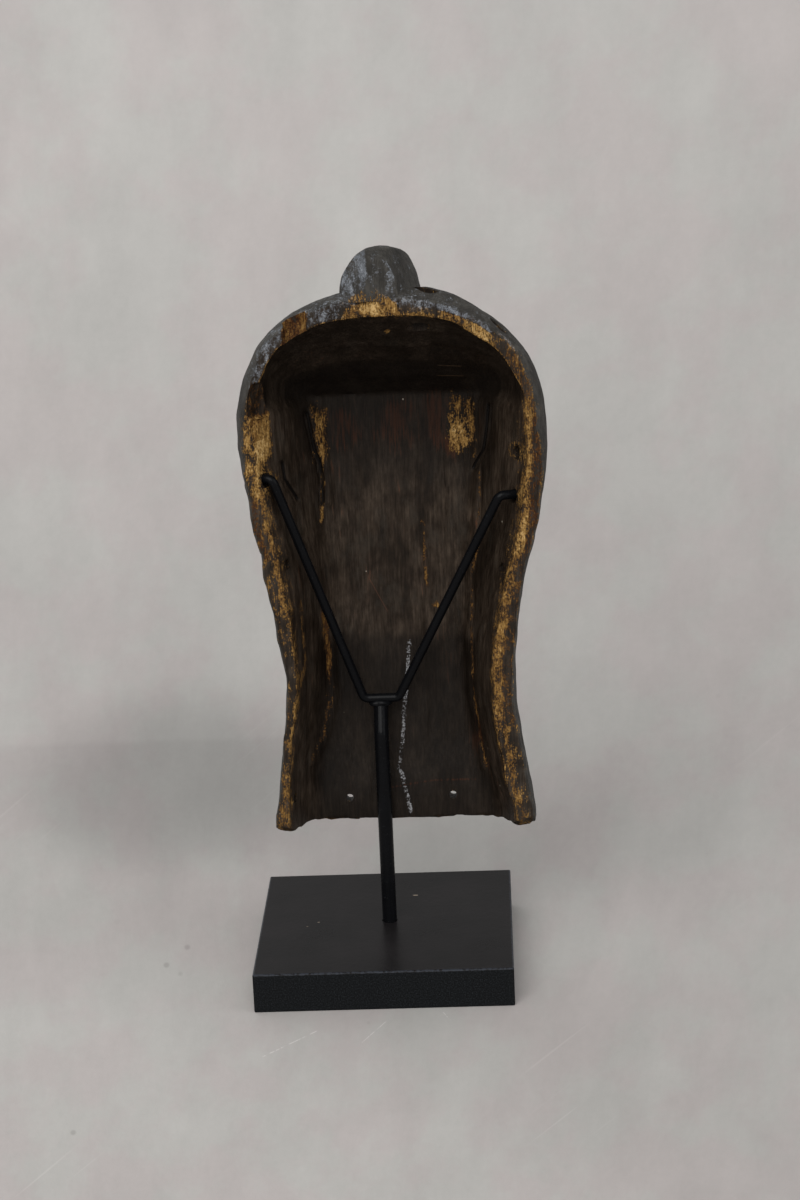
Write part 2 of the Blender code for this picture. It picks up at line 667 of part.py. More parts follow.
def rod_top():
    """Middle of the rod's upper end."""
    return Vector((ROD_SIDE, -ROD_LEAN, BASE_THICK + ROD_STRAIGHT + ROD_LEAN_RISE))


def build_rod(finish):
    """The rod: its foot sits in the board's socket."""
    foot = Vector((ROD_SIDE, 0.0, BASE_THICK - ROD_SPIGOT))
    knee = Vector((ROD_SIDE, 0.0, BASE_THICK + ROD_STRAIGHT))
    path = rounded_path([foot, knee, rod_top()], ROD_DIAMETER, BEND_STEPS)
    return place(wire(path, ROD_DIAMETER / 2, ROUND_SIDES, "stand_rod"), "stand_rod", finish)


def build_cradle(finish, seat):
    """The wire: foot on the rod's end, an arm to each rim hole, and a hook into it."""
    bpy.context.view_layer.update()
    to_world = seat.matrix_world
    top = rod_top()
    lean = math.atan2(ROD_LEAN, ROD_LEAN_RISE)
    level = top.z + CLEARANCE + WIRE_DIAMETER / 2 + ROD_DIAMETER / 2 * math.sin(lean)
    left_foot = Vector((top.x + FOOT_LEFT, top.y, level))
    right_foot = Vector((top.x - FOOT_RIGHT, top.y, level))
    ends = []
    for side, (height, depth_m), reach in ((1, LEFT_HOOK, LEFT_REACH), (-1, RIGHT_HOOK, RIGHT_REACH)):
        wall = hollow_wall(side, height, depth_m)
        out = Vector((side, -float(curve_through(SIDE_SLANT, height)), 0.0)).normalized()
        corner = to_world @ (wall - out * reach)
        ends.append((corner, to_world @ (wall + out * HOOK_RUN_IN)))
    (left_corner, left_end), (right_corner, right_end) = ends
    points = [left_end, left_corner, left_foot, right_foot, right_corner, right_end]
    path = rounded_path(points, WIRE_BEND, BEND_STEPS)
    return place(wire(path, WIRE_DIAMETER / 2, WIRE_SIDES, "stand_cradle"), "stand_cradle", finish)


def build_base(finish):
    """The square board with its socket for the rod, its edges eased."""
    bm = bmesh.new()
    bmesh.ops.create_cube(bm, size=1.0)
    for vert in bm.verts:
        vert.co = Vector((vert.co.x * BASE_SIDE, vert.co.y * BASE_SIDE, (vert.co.z + 0.5) * BASE_THICK))
    board = place(mesh_from(bm, "stand_base"), "stand_base", finish, smooth=False)
    ease = board.modifiers.new("ease", "BEVEL")
    ease.width = BASE_EDGE
    ease.segments = 2
    floor = Vector((ROD_SIDE, 0.0, BASE_THICK - ROD_SPIGOT - CLEARANCE))
    socket = rod_mesh(floor, floor + Vector((0.0, 0.0, BASE_THICK)), ROD_DIAMETER / 2 + CLEARANCE,
                      ROUND_SIDES, "socket")
    combine(board, socket, "socket", "DIFFERENCE", None)
    return board


def main():
    for thing in list(bpy.data.objects):
        bpy.data.objects.remove(thing)
    wood = material("dark_wood", (0.060, 0.040, 0.026), 0.72)
    board_paint = material("board_paint", (0.020, 0.019, 0.019), 0.42)
    steel_paint = material("steel_paint", (0.012, 0.012, 0.013), 0.28)
    seat = build_mask(wood)
    build_base(board_paint)
    build_rod(steel_paint)
    build_cradle(steel_paint, seat)


main()
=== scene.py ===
"""Looks of a carved wooden mask on its stand: the mask, the stand's finishes, floor, light and camera.

The mask is open at the back. Its outline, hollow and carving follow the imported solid, drawn finely enough
for tool marks, worn edges and breaks. Lengths are metres unless a name says mm.
"""
import itertools
import math

import bmesh
import bpy
import numpy as np
from mathutils import Euler, Matrix, Vector, kdtree


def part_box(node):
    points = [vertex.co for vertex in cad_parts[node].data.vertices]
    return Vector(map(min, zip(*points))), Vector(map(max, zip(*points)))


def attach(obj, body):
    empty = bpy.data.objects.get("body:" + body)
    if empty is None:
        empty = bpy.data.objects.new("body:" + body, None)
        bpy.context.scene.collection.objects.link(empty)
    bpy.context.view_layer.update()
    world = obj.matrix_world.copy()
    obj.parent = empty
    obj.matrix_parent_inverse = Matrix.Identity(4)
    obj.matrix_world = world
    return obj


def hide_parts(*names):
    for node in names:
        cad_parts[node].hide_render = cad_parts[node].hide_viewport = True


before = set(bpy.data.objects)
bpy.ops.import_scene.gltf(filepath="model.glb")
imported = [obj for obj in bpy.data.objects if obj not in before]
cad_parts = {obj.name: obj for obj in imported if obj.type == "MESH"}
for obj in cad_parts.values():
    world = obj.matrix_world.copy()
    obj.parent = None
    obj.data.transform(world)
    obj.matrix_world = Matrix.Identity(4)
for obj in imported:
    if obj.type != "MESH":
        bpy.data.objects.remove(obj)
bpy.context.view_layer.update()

bl_info = {
    "name": "Carved mask on a stand",
    "version": (1, 0, 0),
    "blender": (4, 5, 0),
    "location": "View3D > Sidebar > Mask",
    "description": "Builds the looks of a carved wooden mask on a rod and board",
    "category": "Object",
}

MM = 0.001

# The mask's own axes stand here, leaning and turned a little against the board.
MASK_HEIGHT = 0.295
MASK_PLACE = (-0.0143, 0.0222, 0.272)
MASK_TURN = (math.radians(5.0), 0.0, math.radians(-0.9))

# Form of the mask, as shares of MASK_HEIGHT: heights from its rim centre, depths from the rim plane.
CHIN, SPRING, CROWN = -0.627, 0.119, 0.363
RIM_WIDTH, CROWN_RIM, FACE_WALL = 0.0090 / MASK_HEIGHT, 0.0136 / MASK_HEIGHT, 0.0130 / MASK_HEIGHT
OUTLINE = ((CHIN, 0.2395), (-0.525, 0.2285), (-0.366, 0.2085), (-0.203, 0.2235), (-0.034, 0.2590),
           (SPRING, 0.2775))
OUTLINE_ARCH, HOLLOW_ARCH = 2.2, 2.6
RIM_SWELL, RIM_SWELLS_FROM = 0.16, -0.10
RIM_BEVEL, BEVEL_DEPTH, BEVEL_LEAST, BEVEL_FULL_ABOVE = 0.0170, 0.060, 0.20, 0.169
HOLLOW_DEPTH = ((CHIN, 0.1480), (-0.580, 0.1500), (-0.475, 0.1680), (-0.271, 0.1865), (-0.041, 0.1966),
                (0.156, 0.2034))
SIDE_SLANT = ((CHIN, 0.235), (-0.356, 0.245), (-0.230, 0.285), (-0.100, 0.385), (0.130, 0.455),
              (0.170, 0.290), (0.240, 0.0))
OUTER_LEAN = 0.95
HOLLOW_SQUARE = ((CHIN, 8.0), (0.130, 8.0), (0.175, 5.0), (0.235, 2.8), (CROWN, 2.6))
OUTER_SQUARE = ((CHIN, 3.4), (-0.300, 3.4), (0.100, 2.9), (0.240, 2.3), (CROWN, 2.2))
FACE_RELIEF = ((CHIN, -0.006), (-0.520, 0.004), (-0.380, 0.010), (-0.100, 0.006), (0.055, 0.004),
               (0.115, 0.032))
CEILING_CREASE, CEILING_CURVE = 0.156, 0.88
BROW, FOREHEAD_CURVE = 0.115, 1.85
HOLLOW_SHIFT = ((CHIN, 0.004), (-0.520, 0.0115), (-0.366, 0.0115), (-0.100, 0.0), (CROWN, 0.0))
TIP_ROUND, TIP_CORNER, TIP_INNER, TIP_BAND, CHIN_SAG = 0.016, 0.014, 0.014, 0.070, 0.009

# Carving on the face, as shares of MASK_HEIGHT.
CREST_WIDTH = ((0.0, 0.050), (0.25, 0.049), (0.60, 0.027), (1.0, 0.020))
CREST_HEIGHT = ((0.0, 0.071), (0.16, 0.082), (0.60, 0.048), (1.0, 0.034))
CREST_END = ((-1.06, -0.30), (-1.0, 0.20), (-0.72, 0.66), (-0.12, 0.96), (0.04, 1.03), (0.20, 0.94),
             (0.60, 0.72), (0.90, 0.36), (1.0, 0.05), (1.04, -0.30))
CREST_BACK = ((-1.20, -0.30), (-1.04, 0.10), (-0.90, 0.52), (-0.64, 0.92), (-0.10, 1.0), (0.34, 0.94),
              (0.66, 0.74), (0.92, 0.40), (1.0, 0.10), (1.02, -0.30))
CREST_BACK_FROM = 0.10
CREST_OFFSET, CREST_VEER, CREST_SETBACK, CREST_FOOT, CREST_STRAIGHTENS = 0.030, 0.012, 0.003, 0.105, 0.30
NOSE_ROOT, NOSE_TIP, NOSE_FLARE = 0.122, -0.150, 1.4
NOSE_WIDTH, NOSE_HEIGHT = (0.020, 0.062), (0.020, 0.092)
NOSE_PROFILE = ((-1.0, -0.25), (-0.92, 0.22), (-0.42, 0.86), (0.0, 1.0), (0.42, 0.86), (0.92, 0.22),
                (1.0, -0.25))
EYE_SPREAD, EYE_LEVEL, EYE_ROOT, EYE_PINCH = 0.100, -0.010, 0.012, 0.35
EYE_SIZE, EYE_SLIT = (0.066, 0.040, 0.032), (0.050, 0.0105, 0.026)
MOUTH_LEVEL, MOUTH_SQUARE = -0.330, 3.4
MOUTH_SIZE, MOUTH_SLOT = (0.100, 0.066, 0.092), (0.066, 0.022, 0.052)
MOUTH_PROFILE = ((-0.30, 0.96), (0.25, 0.90), (0.70, 0.88), (0.86, 1.0), (1.0, 0.97))
GROOVES, GROOVE_DEPTH, GROOVE_TURN = 34, 0.0060, 0.20
PLAIN_BAND, PLAIN_CHIN, PLAIN_CROWN = (0.16, 0.22), (0.05, 0.08), (0.004, 0.020)
PLAIN_BROW = (0.045, 0.060, 0.110, 0.130)
PLAIN_EYE, PLAIN_MOUTH, PLAIN_EDGE = (0.060, 0.042), (0.085, 0.060), (0.85, 1.15)

# Holes: side, share of height, depth in metres, diameter; then those in the chin and the dome's slots.
SIDE_HOLES = ((1, 0.032, 0.0054, 0.0074), (-1, -0.012, 0.0110, 0.0074), (-1, 0.063, 0.012, 0.0080),
              (1, -0.127, 0.010, 0.0050), (-1, -0.145, 0.012, 0.0050), (1, -0.564, 0.012, 0.0050))
HOOK_DROP = 0.0009
CHIN_TIES, CHIN_HOLE = ((0.0323, -0.597), (-0.0249, -0.596)), 0.0044
CROWN_SLOTS = ((-0.021, math.radians(-14), 0.0086), (-0.060, math.radians(-45), 0.0066))
SLOT_SIZE, SLOT_LEAN = (0.0125, 0.0060), 0.12
BREAKS = (((0.255, ((0.186, -0.01), (0.186, 0.019), (0.143, 0.005), (0.143, -0.01))),
           (0.345, ((0.178, -0.01), (0.178, 0.019), (0.140, 0.003), (0.140, -0.01)))),
          ((0.139, ((0.256, -0.01), (0.256, 0.020), (0.226, 0.052), (0.190, 0.046), (0.185, -0.01))),
           (0.207, ((0.247, -0.01), (0.247, 0.012), (0.224, 0.036), (0.195, 0.036), (0.190, -0.01)))),
          ((0.050, ((0.228, -0.01), (0.233, 0.002), (0.224, 0.006), (0.200, 0.006), (0.200, -0.01))),
           (0.146, ((0.254, -0.01), (0.254, 0.004), (0.222, 0.034), (0.200, 0.034), (0.200, -0.01)))))

# Fineness of the carved mesh.
SIDE_ROWS, CROWN_ROWS, SHEET_COLUMNS, RIM_COLUMNS = 150, 58, 5 * GROOVES + 1, 7
OUTSIDE, RIM, HOLLOW = 0, 1, 2

# Lines on the hollow's wall, in mm: each point is (height, across).
LEFT_CRACK = ((-14, 41.4), (-10.5, 41.1), (1.5, 40.7), (10.4, 41.9), (17.3, 44.2), (28.5, 45.8), (38.4, 47.4))
RIGHT_CRACK = ((4, -41.5), (7.3, -42.9), (15, -47.5), (26.1, -49.5), (40.2, -51.0))
SIDE_CRACK = ((-7, 53.0), (-5, 53.9), (5.7, 58.6), (15.6, 59.7))
LEFT_STRIPE = ((-155, 52.6), (-151, 51.0), (-140, 45.5), (-121, 41.0), (-93, 41.0), (-70.5, 42.2))
RIGHT_CREASE = ((-161, -44.3), (-147.5, -41.5), (-116.5, -38.0), (-89, -37.8), (-54, -38.8), (-36, -43.2),
                (4, -45.0))
WHITE_STREAK = ((-186, -1.4), (-170, 1.3), (-161, 4.3), (-145, 2.2), (-118, -0.3), (-97, -2.7), (-90, -3.4))
AMBER_STRIPE = ((-62, -14.4), (-54, -13.4), (-28, -13.2), (-22, -12.8))
SCRATCH = ((-73.7, 8.1), (-54.6, 17.9))
CEILING_MARKS = ((-37, 61.6), (-25, 62.4)), ((-38, 55.6), (-24, 56.2))
AMBER_LINE = ((-38, -167.2), (-14, -167.5), (0, -169.4), (9, -170.8))

# Pale specks on the board and scratches on the floor, in mm and in thousandths of the view's run.
BOARD_SPECKS = (((-15.4, -34.8), 1.5), ((38.0, 0.4), 0.7), ((44.0, 6.0), 0.5))
FLOOR_SCRATCHES = (((26.1, 469.7), (47.4, 480.4)), ((-1.8, 465.7), (8.0, 475.3)), ((-26.3, 466.5), (-21.4, 460.8)))

# The wire cradle's corners, from the left hook to the right, and the rod's upper end.
CRADLE_CORNERS = ((0.06069, 0.01114, 0.28061), (0.04910, 0.01656, 0.28107), (0.00720, -0.00800, 0.14990),
                  (-0.01180, -0.00800, 0.14990), (-0.07013, 0.01578, 0.26781), (-0.08630, 0.00913, 0.26720))
WIRE_RADIUS, WIRE_BEND = 0.0025, 0.0042
ROD_TOP = (-0.0018, -0.0080, 0.1450)

# Camera: where it stands, how far it looks down and leans, and its lens.
CAMERA_PLACE = (-0.0662, 1.4165, 0.6212)
CAMERA_AHEAD = (0.03610, -0.99935)
CAMERA_PITCH, CAMERA_ROLL = math.radians(16.264), math.radians(2.4354)


def curve_through(stations, at):
    """Smooth curve through (place, value) stations, level at both ends."""
    places, values = np.array(stations, float).T
    slopes = np.zeros(len(places))
    slopes[1:-1] = (values[2:] - values[:-2]) / (places[2:] - places[:-2])
    at = np.clip(at, places[0], places[-1])
    i = np.clip(np.searchsorted(places, at, side="right") - 1, 0, len(places) - 2)
    span = places[i + 1] - places[i]
    t = (at - places[i]) / span
    held = (2 * t ** 3 - 3 * t ** 2 + 1) * values[i] + (3 * t ** 2 - 2 * t ** 3) * values[i + 1]
    return held + (t ** 3 - 2 * t ** 2 + t) * span * slopes[i] + (t ** 3 - t ** 2) * span * slopes[i + 1]


def smooth_step(value, low, high):
    """0 below low, 1 above high, with an even rise between them."""
    t = np.clip((value - low) / (high - low), 0.0, 1.0)
    return t * t * (3 - 2 * t)


def band(value, low, high, soft):
    """1 between low and high, with soft ends."""
    return smooth_step(value, low - soft, low + soft) * (1 - smooth_step(value, high - soft, high + soft))


def spot(a, b, centre, reach, soft=0.4):
    """1 inside an ellipse round a centre, falling to 0 over its soft edge."""
    away = np.hypot((a - centre[0]) / reach[0], (b - centre[1]) / reach[1])
    return 1 - smooth_step(away, 1 - soft, 1 + soft)


def near_line(across, height, points, half_width, soft=0.7):
    """1 on a line of (height, across) points, falling to 0 beyond its half width."""
    heights, places = np.array(points, float).T
    away = np.abs(across - np.interp(height, heights, places))
    ends = band(height, heights[0], heights[-1], 1.5)
    return ends * (1 - smooth_step(away, half_width * (1 - soft), half_width * (1 + soft)))


def rough(points, cell, seed=0):
    """Smooth random relief between about -1 and 1, with the given cell size on each axis."""
    p = np.asarray(points, float) / np.asarray(cell, float) + 31.7 * (seed + 1)
    base = np.floor(p).astype(np.int64)
    t = p - base
    t = t * t * t * (t * (6 * t - 15) + 10)
    total = np.zeros(len(p))
    for corner in itertools.product((0, 1), repeat=3):
        c = base + corner
        mixed = (c[:, 0] * 73856093) ^ (c[:, 1] * 19349663) ^ (c[:, 2] * 83492791) ^ (seed * 2654435761)
        mixed = (mixed ^ (mixed >> 13)) * 1274126177 & 0x7FFFFFFF
        weight = np.prod(np.where(np.array(corner) == 1, t, 1 - t), axis=1)
        total += weight * ((mixed >> 7) % 65536 / 32767.5 - 1.0)
    return total * 1.4


def arch(height, spring, top, half_width, power):
    """Half width of a round arch at a height between its spring and its top."""
    rise = np.clip((height - spring) / (top - spring), 0.0, 1.0)
    return half_width * (1 - rise ** power) ** (1 / power)


def outline_half_width(height):
    """Half width of the rim's outer edge."""
    if height > SPRING:
        return float(arch(height, SPRING, CROWN, OUTLINE[-1][1], OUTLINE_ARCH))
    return float(curve_through(OUTLINE, height))


HOLLOW_TOP = CROWN - CROWN_RIM


def hollow_half_width(height):
    """Half width of the rim's inner edge."""
    rim = RIM_WIDTH * (1 + RIM_SWELL * float(smooth_step(height, RIM_SWELLS_FROM, SPRING)))
    if height > SPRING:
        return float(arch(height, SPRING, HOLLOW_TOP, OUTLINE[-1][1] - rim, HOLLOW_ARCH))
    return float(curve_through(OUTLINE, height)) - rim


def hollow_depth(height):
    """Depth of the hollow on its middle line: the face wall, and above the crease the ceiling."""
    left = max((HOLLOW_TOP - height) / (HOLLOW_TOP - CEILING_CREASE), 0.0)
    return min(float(curve_through(HOLLOW_DEPTH, height)), HOLLOW_DEPTH[-1][1] * left ** CEILING_CURVE)


def outer_depth(height):
    """Depth of the outer surface on its middle line, without the carved features."""
    if height > BROW:
        rise = min((height - BROW) / (CROWN - BROW), 1.0)
        deep = HOLLOW_DEPTH[-1][1] + FACE_WALL + FACE_RELIEF[-1][1]
        return deep * (1 - rise ** FOREHEAD_CURVE) ** (1 / FOREHEAD_CURVE)
    return float(curve_through(HOLLOW_DEPTH, height)) + FACE_WALL + float(curve_through(FACE_RELIEF, height))


def section(half_width, depth, slant, square, across, upright=0.0):
    """Points of one level section: a squared ellipse whose sides lean in beyond an upright stretch."""
    turn = across * math.pi / 2
    side = np.sign(turn) * np.abs(np.sin(turn)) ** (2 / square)
    deep = depth * np.abs(np.cos(turn)) ** (2 / square)
    return side * (half_width - slant * np.maximum(deep - upright, 0.0)), deep


def even_section(half_width, depth, slant, square, count, upright=0.0, pull=0.0):
    """The section's points at even steps of its own length, or drawn toward its parameter by pull."""
    fine = np.linspace(-1.0, 1.0, 1441)
    x, d = section(half_width, depth, slant, square, fine, upright)
    run = np.concatenate([[0.0], np.cumsum(np.hypot(np.diff(x), np.diff(d)))])
    even = np.interp(np.linspace(0.0, run[-1], count), run, fine)
    return section(half_width, depth, slant, square,
                   (1 - pull) * even + pull * np.linspace(-1.0, 1.0, count), upright)


def row_heights(top):
    """Heights of the rows: even up the sides, then closing toward the top of the arch."""
    sides = np.linspace(CHIN, SPRING, SIDE_ROWS, endpoint=False)
    turns = np.linspace(0.0, math.pi / 2, CROWN_ROWS, endpoint=False)
    return np.concatenate([sides, SPRING + (top - SPRING) * np.sin(turns)])


def trim_chin(x, d, z, half_width):
    """Round the lower tips of the rim and let the chin's edge sag a little in the middle."""
    low = smooth_step(-z, -(CHIN + TIP_BAND), -CHIN)
    tip = TIP_ROUND * np.clip(1 - d / TIP_ROUND, 0.0, 1.0) ** 2
    corner = TIP_CORNER * np.clip(1 - (half_width - np.abs(x)) / TIP_CORNER, 0.0, 1.0) ** 2
    inner = TIP_INNER * smooth_step(half_width - np.abs(x), 0.016, 0.050) * np.clip(1 - d / 0.10, 0.0, 1.0)
    sag = CHIN_SAG * np.clip(1 - (x / half_width) ** 2, 0.0, 1.0)
    return z + low * (tip + corner + inner - sag)


def groove_field(x, height, share):
    """Where the face is grooved: not on the band along the rim, nor round the eyes and the mouth."""
    field = smooth_step(1 - np.abs(share), *PLAIN_BAND) * smooth_step(height - CHIN, *PLAIN_CHIN)
    field *= smooth_step(CROWN - height, *PLAIN_CROWN)
    field *= 1 - smooth_step(height, *PLAIN_BROW[:2]) * (1 - smooth_step(height, *PLAIN_BROW[2:]))
    for middle_x, middle_z, (wide, high) in ((EYE_SPREAD, EYE_LEVEL, PLAIN_EYE),
                                             (-EYE_SPREAD, EYE_LEVEL, PLAIN_EYE),
                                             (0.0, MOUTH_LEVEL, PLAIN_MOUTH)):
        around = ((x - middle_x) / wide) ** 2 + ((height - middle_z) / high) ** 2
        field = field * smooth_step(around, *PLAIN_EDGE)
    return field


def outer_row(height):
    """One row of the outer surface and how deep each of its points lies in a groove."""
    share = np.linspace(-1.0, 1.0, SHEET_COLUMNS)
    slant = float(curve_through(SIDE_SLANT, height)) * OUTER_LEAN
    x, d = even_section(outline_half_width(height), outer_depth(height), slant,
                        float(curve_through(OUTER_SQUARE, height)), SHEET_COLUMNS, BEVEL_DEPTH)
    upward = max(height - SPRING, 0.0)
    away = np.maximum(np.hypot(x, upward), 1e-6)
    bevel = RIM_BEVEL * np.clip(1 - d / BEVEL_DEPTH, 0.0, 1.0) ** 2
    bevel *= BEVEL_LEAST + (1 - BEVEL_LEAST) * smooth_step(height, RIM_SWELLS_FROM, BEVEL_FULL_ABOVE)
    z = trim_chin(x, d, np.full(SHEET_COLUMNS, height), outline_half_width(CHIN))
    x, z = x - bevel * x / away, z - bevel * upward / away
    phase = (share + 1) / 2 * GROOVES
    wander = 0.10 * rough(np.stack([phase, np.full_like(phase, height * 9), phase * 0], -1), (1.6, 1, 1), 5)
    furrow = (0.5 - 0.5 * np.cos(2 * math.pi * (phase + wander))) ** 1.6 * groove_field(x, height, share)
    sideways = np.clip(1 + GROOVE_TURN - d / GROOVE_TURN, GROOVE_TURN, 1.0)
    inward = np.stack([-x / away * sideways, -np.ones(SHEET_COLUMNS)], -1)
    inward /= np.linalg.norm(inward, axis=1)[:, None]
    cut = GROOVE_DEPTH * furrow
    return np.stack([x + cut * inward[:, 0], -d - cut * inward[:, 1], z], -1), furrow


def hollow_row(height):
    """One row of the hollow's surface."""
    x, d = even_section(hollow_half_width(height), hollow_depth(height),
                        float(curve_through(SIDE_SLANT, height)),
                        float(curve_through(HOLLOW_SQUARE, height)), SHEET_COLUMNS, pull=0.15)
    x = x + float(curve_through(HOLLOW_SHIFT, height))
    return np.stack([x, -d, trim_chin(x, d, np.full(SHEET_COLUMNS, height), outline_half_width(CHIN))], -1)


def between(first, last, shares):
    """Points between two points, at the given shares."""
    return first[None] + (last - first)[None] * shares[:, None]


def shell_points():
    """The shell as rings that run round its outside, rim and hollow, with what each point belongs to."""
    shares = np.arange(1, RIM_COLUMNS + 1) / (RIM_COLUMNS + 1)
    rings, furrows = [], []
    for outer_height, inner_height in zip(row_heights(CROWN), row_heights(HOLLOW_TOP)):
        outer, furrow = outer_row(outer_height)
        inner = hollow_row(inner_height)
        rings.append(np.concatenate([outer, between(outer[-1], inner[-1], shares), inner[::-1],
                                     between(inner[0], outer[0], shares)]))
        furrows.append(furrow)
    count = SHEET_COLUMNS
    region = np.array([OUTSIDE] * count + [RIM] * RIM_COLUMNS + [HOLLOW] * count + [RIM] * RIM_COLUMNS)
    across = np.concatenate([np.zeros(count), shares, np.ones(count), shares[::-1]])
    return np.array(rings), np.array(furrows), region, across, shares


def shell_mesh():
    """Closed mesh of the shell. Returns points, faces, region, across the rim, and groove depth."""
    rings, furrows, ring_region, ring_across, shares = shell_points()
    rows, count = rings.shape[0], SHEET_COLUMNS
    around = rings.shape[1]
    index = np.arange(rows * around).reshape(rows, around)
    onward = np.roll(index, -1, axis=1)
    faces = np.stack([index[:-1], onward[:-1], onward[1:], index[1:]], -1).reshape(-1, 4).tolist()
    points = [rings.reshape(-1, 3)]
    region, across = [np.tile(ring_region, rows)], [np.tile(ring_across, rows)]
    furrow = [np.pad(furrows, ((0, 0), (0, around - count))).reshape(-1)]

    def add(new, kind, places):
        start = sum(len(p) for p in points)
        points.append(np.atleast_2d(new))
        region.append(np.full(len(points[-1]), kind))
        across.append(np.broadcast_to(np.asarray(places, float), len(points[-1])))
        furrow.append(np.zeros(len(points[-1])))
        return np.arange(start, start + len(points[-1]))

    top = index[-1]
    outer_pole = add(np.array([0.0, 0.0, CROWN]), OUTSIDE, 0.0)[0]
    inner_pole = add(np.array([0.0, 0.0, HOLLOW_TOP]), HOLLOW, 1.0)[0]
    ridge = add(between(np.array([0.0, 0.0, CROWN]), np.array([0.0, 0.0, HOLLOW_TOP]), shares), RIM, shares)
    outer, right, inner, left = np.split(top, [count, count + RIM_COLUMNS, 2 * count + RIM_COLUMNS])
    faces += [[a, b, outer_pole] for a, b in zip(outer, outer[1:])]
    faces += [[a, b, inner_pole] for a, b in zip(inner, inner[1:])]
    line = [outer_pole, *ridge, inner_pole]
    right = [outer[-1], *right, inner[0]]
    left = [outer[0], *left[::-1], inner[-1]]
    faces += [[right[i], right[i + 1], line[i + 1], line[i]] for i in range(RIM_COLUMNS + 1)]
    faces += [[line[i], line[i + 1], left[i + 1], left[i]] for i in range(RIM_COLUMNS + 1)]

    low = index[0]
    low_outer, low_right, low_inner, low_left = np.split(low, [count, count + RIM_COLUMNS,
                                                               2 * count + RIM_COLUMNS])
    low_inner, low_left = low_inner[::-1], low_left[::-1]
    bottom = rings[0]
    previous = low_outer
    for k, share in enumerate(shares):
        mid = bottom[low_outer] + (bottom[low_inner] - bottom[low_outer]) * share
        mid = mid[1:-1] - np.array([0, 0, 0.0035]) * (1 - (2 * share - 1) ** 2)
        fresh = add(mid, RIM, share)
        current = np.concatenate([[low_left[k]], fresh, [low_right[k]]])
        faces += np.stack([previous[:-1], current[:-1], current[1:], previous[1:]], -1).tolist()
        previous = current
    faces += np.stack([previous[:-1], low_inner[:-1], low_inner[1:], previous[1:]], -1).tolist()
    return (np.concatenate(points) * MASK_HEIGHT, faces, np.concatenate(region), np.concatenate(across),
            np.concatenate(furrow))


def normals_of(points, faces):
    """Vertex normals of a mesh given as points and faces, pointing out."""
    mesh = bpy.data.meshes.new("probe")
    mesh.from_pydata(points.tolist(), [], faces)
    mesh.update()
    found = np.zeros(len(points) * 3)
    mesh.vertex_normals.foreach_get("vector", found)
    bpy.data.meshes.remove(mesh)
    return found.reshape(-1, 3)


def shell_relief(points, region, across):
    """How far each shell point moves along its normal: wear, tool marks, cracks and chips, in metres."""
    x, d, z = points[:, 0] / MM, -points[:, 1] / MM, points[:, 2] / MM
    mm = np.stack([x, d, z], -1)
    crease = CEILING_CREASE * MASK_HEIGHT / MM
    ceiling = smooth_step(z, crease - 1.0, crease + 3.0)
    rim_near = np.exp(-np.clip(d, 0.0, None) / 3.0)
    waves = 0.45 * rough(mm, (15, 15, 42), 1)
    flutes = 0.30 * rough(mm, (4.6, 4.6, 40), 2) + 0.16 * rough(mm, (2.6, 2.6, 22), 3)
    marks = 0.22 * rough(mm, (46, 5.0, 5.0), 4) + 0.12 * rough(mm, (16, 2.4, 2.4), 6)
    marks += 0.5 * near_line(z, x, ((-21.2, 75.0), (2, 75.8), (25.2, 76.8)), 0.8)
    hollow = waves + (1 - ceiling) * flutes + ceiling * marks
    for points_of, half, deep in ((LEFT_CRACK, 1.1, 2.2), (RIGHT_CRACK, 1.0, 1.8), (SIDE_CRACK, 1.1, 1.8)):
        hollow -= deep * near_line(x, z, points_of, half) * np.where(d > 14, 1.0, 0.0)
    hollow += 1.1 * near_line(x, z, tuple((h, a - 3.2) for h, a in LEFT_CRACK), 2.4)
    hollow += 0.8 * near_line(x, z, tuple((h, a - 1.5) for h, a in LEFT_STRIPE), 2.2)
    hollow += 0.7 * near_line(x, z, tuple((h, a + 1.6) for h, a in RIGHT_CREASE), 1.6)
    hollow -= 0.5 * near_line(x, z, tuple((h, a - 0.6) for h, a in RIGHT_CREASE), 1.0)
    hollow -= 0.9 * spot(x, z, (-48.3, 66.8), (3.0, 2.4))
    hollow *= 1 - 0.7 * rim_near
    outside = 0.40 * rough(mm, (17, 17, 26), 7) + 0.26 * rough(mm, (6.5, 6.5, 9), 8)
    outside += 0.12 * rough(mm, (2.6, 2.6, 6), 9)
    chips = rough(mm, (7.5, 7.5, 11), 10)
    rim = 0.35 * rough(mm, (3.0, 3.0, 5), 11) - 1.0 * smooth_step(chips, 0.25, 0.85)
    rim += 0.9 * (1 - np.abs(2 * across - 1) ** 4) - 0.15
    return np.select([region == HOLLOW, region == RIM], [hollow, rim], outside) * MM


